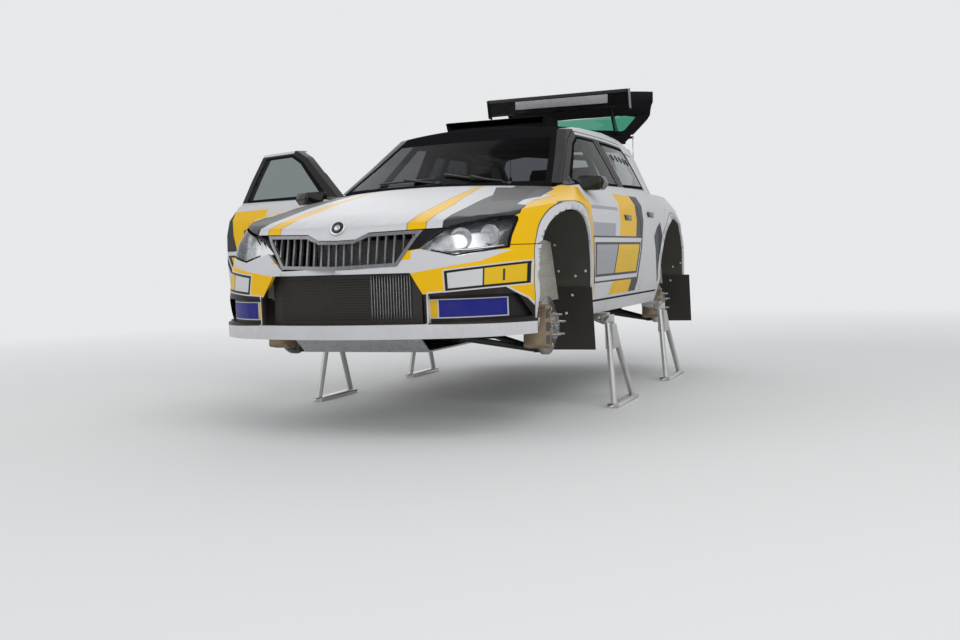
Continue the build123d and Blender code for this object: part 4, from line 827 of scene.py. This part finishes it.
# Wipers on the screen and slots in the rear door windows
wiperSpec = {
    "left": {"blade": ((30, 400, 1085), (215, 350, 1052), (400, 350, 1028)), "pivot": (432, 372, 1000)},
    "right": {"blade": ((-385, 380, 1075), (-200, 350, 1058), (-15, 350, 1050)), "pivot": (25, 322, 1020)},
}
wiperSizes = {
    "lift": 0.010, "blade": 0.0055, "arm": 0.007, "cap": 0.014,  # over the screen, and three radii
    "joint": Vector((0, -0.006, 0.010)), "capLow": Vector((0, 0.004, 0.014)),
    "capHigh": Vector((0, 0.003, 0.012)),
}
slotSpec = {"x": 760, "first": 1730, "step": 112, "count": 5, "top": 1308, "low": 1262, "lean": 30,
            "radius": 0.0055}


def onSkin(node, place, lift=0.0):
    point, normal = skins[node].closest_point_on_mesh(spot(*place))[1:3]
    return point + normal * lift


def makeWipers():
    bpy.context.view_layer.update()
    for hand, wiper in wiperSpec.items():
        line = [onSkin("windscreen", place, wiperSizes["lift"]) for place in wiper["blade"]]
        rods = [addRod("blade", start, end, wiperSizes["blade"], "trimBlack")
                for start, end in zip(line, line[1:])]
        pivot = spot(*wiper["pivot"])
        rods.append(addRod("arm", pivot, line[1] + wiperSizes["joint"], wiperSizes["arm"], "trimBlack"))
        rods.append(addRod("cap", pivot - wiperSizes["capLow"], pivot + wiperSizes["capHigh"],
                           wiperSizes["cap"], "trimBlack"))
        joined(rods, f"wiper_{hand}", "trimBlack", "body")


def makeSlots():
    for side, hand in ((1, "left"), (-1, "right")):
        rods = []
        for i in range(slotSpec["count"]):
            y = slotSpec["first"] + i * slotSpec["step"]
            ends = [onSkin(f"door_rear_window_{hand}", (side * slotSpec["x"], y + shift, z))
                    for shift, z in ((0, slotSpec["top"]), (slotSpec["lean"], slotSpec["low"]))]
            rods.append(addRod("slot", *ends, slotSpec["radius"], "trimBlack", f"door_rear_{hand}"))
        joined(rods, f"window_slots_{hand}", "trimBlack", f"door_rear_{hand}")


makeHeadlamps()
makeBadge()
makePins()
makeIntake()
makeArches()
makeCabin()
makeWingPlate()
makeHandles()
makeStrip()
makeWipers()
makeSlots()

# Stage, light and camera
print("stage")
stageLook = {"floor": (0.80, 0.80, 0.79), "roughness": 0.9, "size": 80, "level": -0.001,
             "world": (0.93, 0.96, 1.0), "worldStrength": 0.55, "backdrop": (0.80, 0.81, 0.82),
             "fade": (3.6, 9.0)}


def makeStage():
    clearSelection()
    bpy.ops.mesh.primitive_plane_add(size=stageLook["size"], location=(0, 0, stageLook["level"]))
    floor = bpy.context.object
    floor.name = "studio_floor"
    shade = Shade("studioFloor")
    shade.put(Base_Color=stageLook["floor"], Roughness=stageLook["roughness"])
    # far from the car the floor fades into the backdrop for the camera alone
    reach = shade.maths("SQRT", shade.maths("ADD", shade.maths("MULTIPLY", shade.x, shade.x),
                                            shade.maths("MULTIPLY", shade.y, shade.y)))
    far = shade.spread(reach, *stageLook["fade"], 0, 1)
    eye = shade.tree.nodes.new("ShaderNodeLightPath").outputs["Is Camera Ray"]
    glow = shade.tree.nodes.new("ShaderNodeEmission")
    glow.inputs[0].default_value = (*stageLook["backdrop"], 1)
    fading = shade.tree.nodes.new("ShaderNodeMixShader")
    out = next(n for n in shade.tree.nodes if n.type == "OUTPUT_MATERIAL")
    shade.tree.links.new(shade.maths("MULTIPLY", far, eye), fading.inputs[0])
    shade.tree.links.new(shade.shader.outputs[0], fading.inputs[1])
    shade.tree.links.new(glow.outputs[0], fading.inputs[2])
    shade.tree.links.new(fading.outputs[0], out.inputs["Surface"])
    floor.data.materials.append(shade.material)
    world = bpy.data.worlds.new("studio")
    bpy.context.scene.world = world
    world.use_nodes = True
    tree = world.node_tree
    light = tree.nodes["Background"]
    light.inputs[0].default_value = (*stageLook["world"], 1)
    light.inputs[1].default_value = stageLook["worldStrength"]
    seen = tree.nodes.new("ShaderNodeBackground")
    seen.inputs[0].default_value = (*stageLook["backdrop"], 1)
    seen.inputs[1].default_value = 1.0
    path = tree.nodes.new("ShaderNodeLightPath")
    mixing = tree.nodes.new("ShaderNodeMixShader")
    shown = path.outputs["Is Camera Ray"]
    for ray in ("Is Transmission Ray", "Is Glossy Ray"):
        either = tree.nodes.new("ShaderNodeMath")
        either.operation = "MAXIMUM"
        tree.links.new(shown, either.inputs[0])
        tree.links.new(path.outputs[ray], either.inputs[1])
        shown = either.outputs[0]
    tree.links.new(shown, mixing.inputs[0])
    tree.links.new(light.outputs[0], mixing.inputs[1])
    tree.links.new(seen.outputs[0], mixing.inputs[2])
    tree.links.new(mixing.outputs[0], tree.nodes["World Output"].inputs["Surface"])


lamps = {  # name: place, aims at, size, power
    "key": ((5.5, -6.0, 6.5), (0, -0.5, 0.8), 7.0, 300),
    "fill": ((-6.5, -5.5, 4.5), (0, 0, 0.8), 7.0, 130),
    "back": ((-3.0, 7.0, 6.0), (0, 1, 1.0), 7.0, 170),
}


def makeLamps():
    for name, (place, aim, size, power) in lamps.items():
        data = bpy.data.lights.new(name, "AREA")
        data.size = size
        data.energy = power
        lamp = bpy.data.objects.new(name, data)
        bpy.context.scene.collection.objects.link(lamp)
        lamp.location = place
        lamp.rotation_euler = (Vector(aim) - Vector(place)).to_track_quat("-Z", "Y").to_euler()


shot = {"place": (2.575, -6.795, 0.866), "yaw": 22.2, "pitch": -3.31, "roll": -1.83, "lens": 41.31,
        "sensor": 36}


def makeCamera():
    yaw, pitch, roll = (math.radians(shot[k]) for k in ("yaw", "pitch", "roll"))
    ahead = Vector((-math.sin(yaw) * math.cos(pitch), math.cos(yaw) * math.cos(pitch), math.sin(pitch)))
    level = Vector((math.cos(yaw), math.sin(yaw), 0))
    lift = level.cross(ahead)
    right = level * math.cos(roll) + lift * math.sin(roll)
    up = lift * math.cos(roll) - level * math.sin(roll)
    data = bpy.data.cameras.new("camera")
    data.lens = shot["lens"]
    data.sensor_width = shot["sensor"]
    camera = bpy.data.objects.new("camera", data)
    bpy.context.scene.collection.objects.link(camera)
    turn = Matrix((right, up, -ahead)).transposed().to_4x4()
    camera.matrix_world = Matrix.Translation(shot["place"]) @ turn
    bpy.context.scene.camera = camera


makeStage()
makeLamps()
makeCamera()
bpy.context.scene.view_settings.view_transform = "Standard"
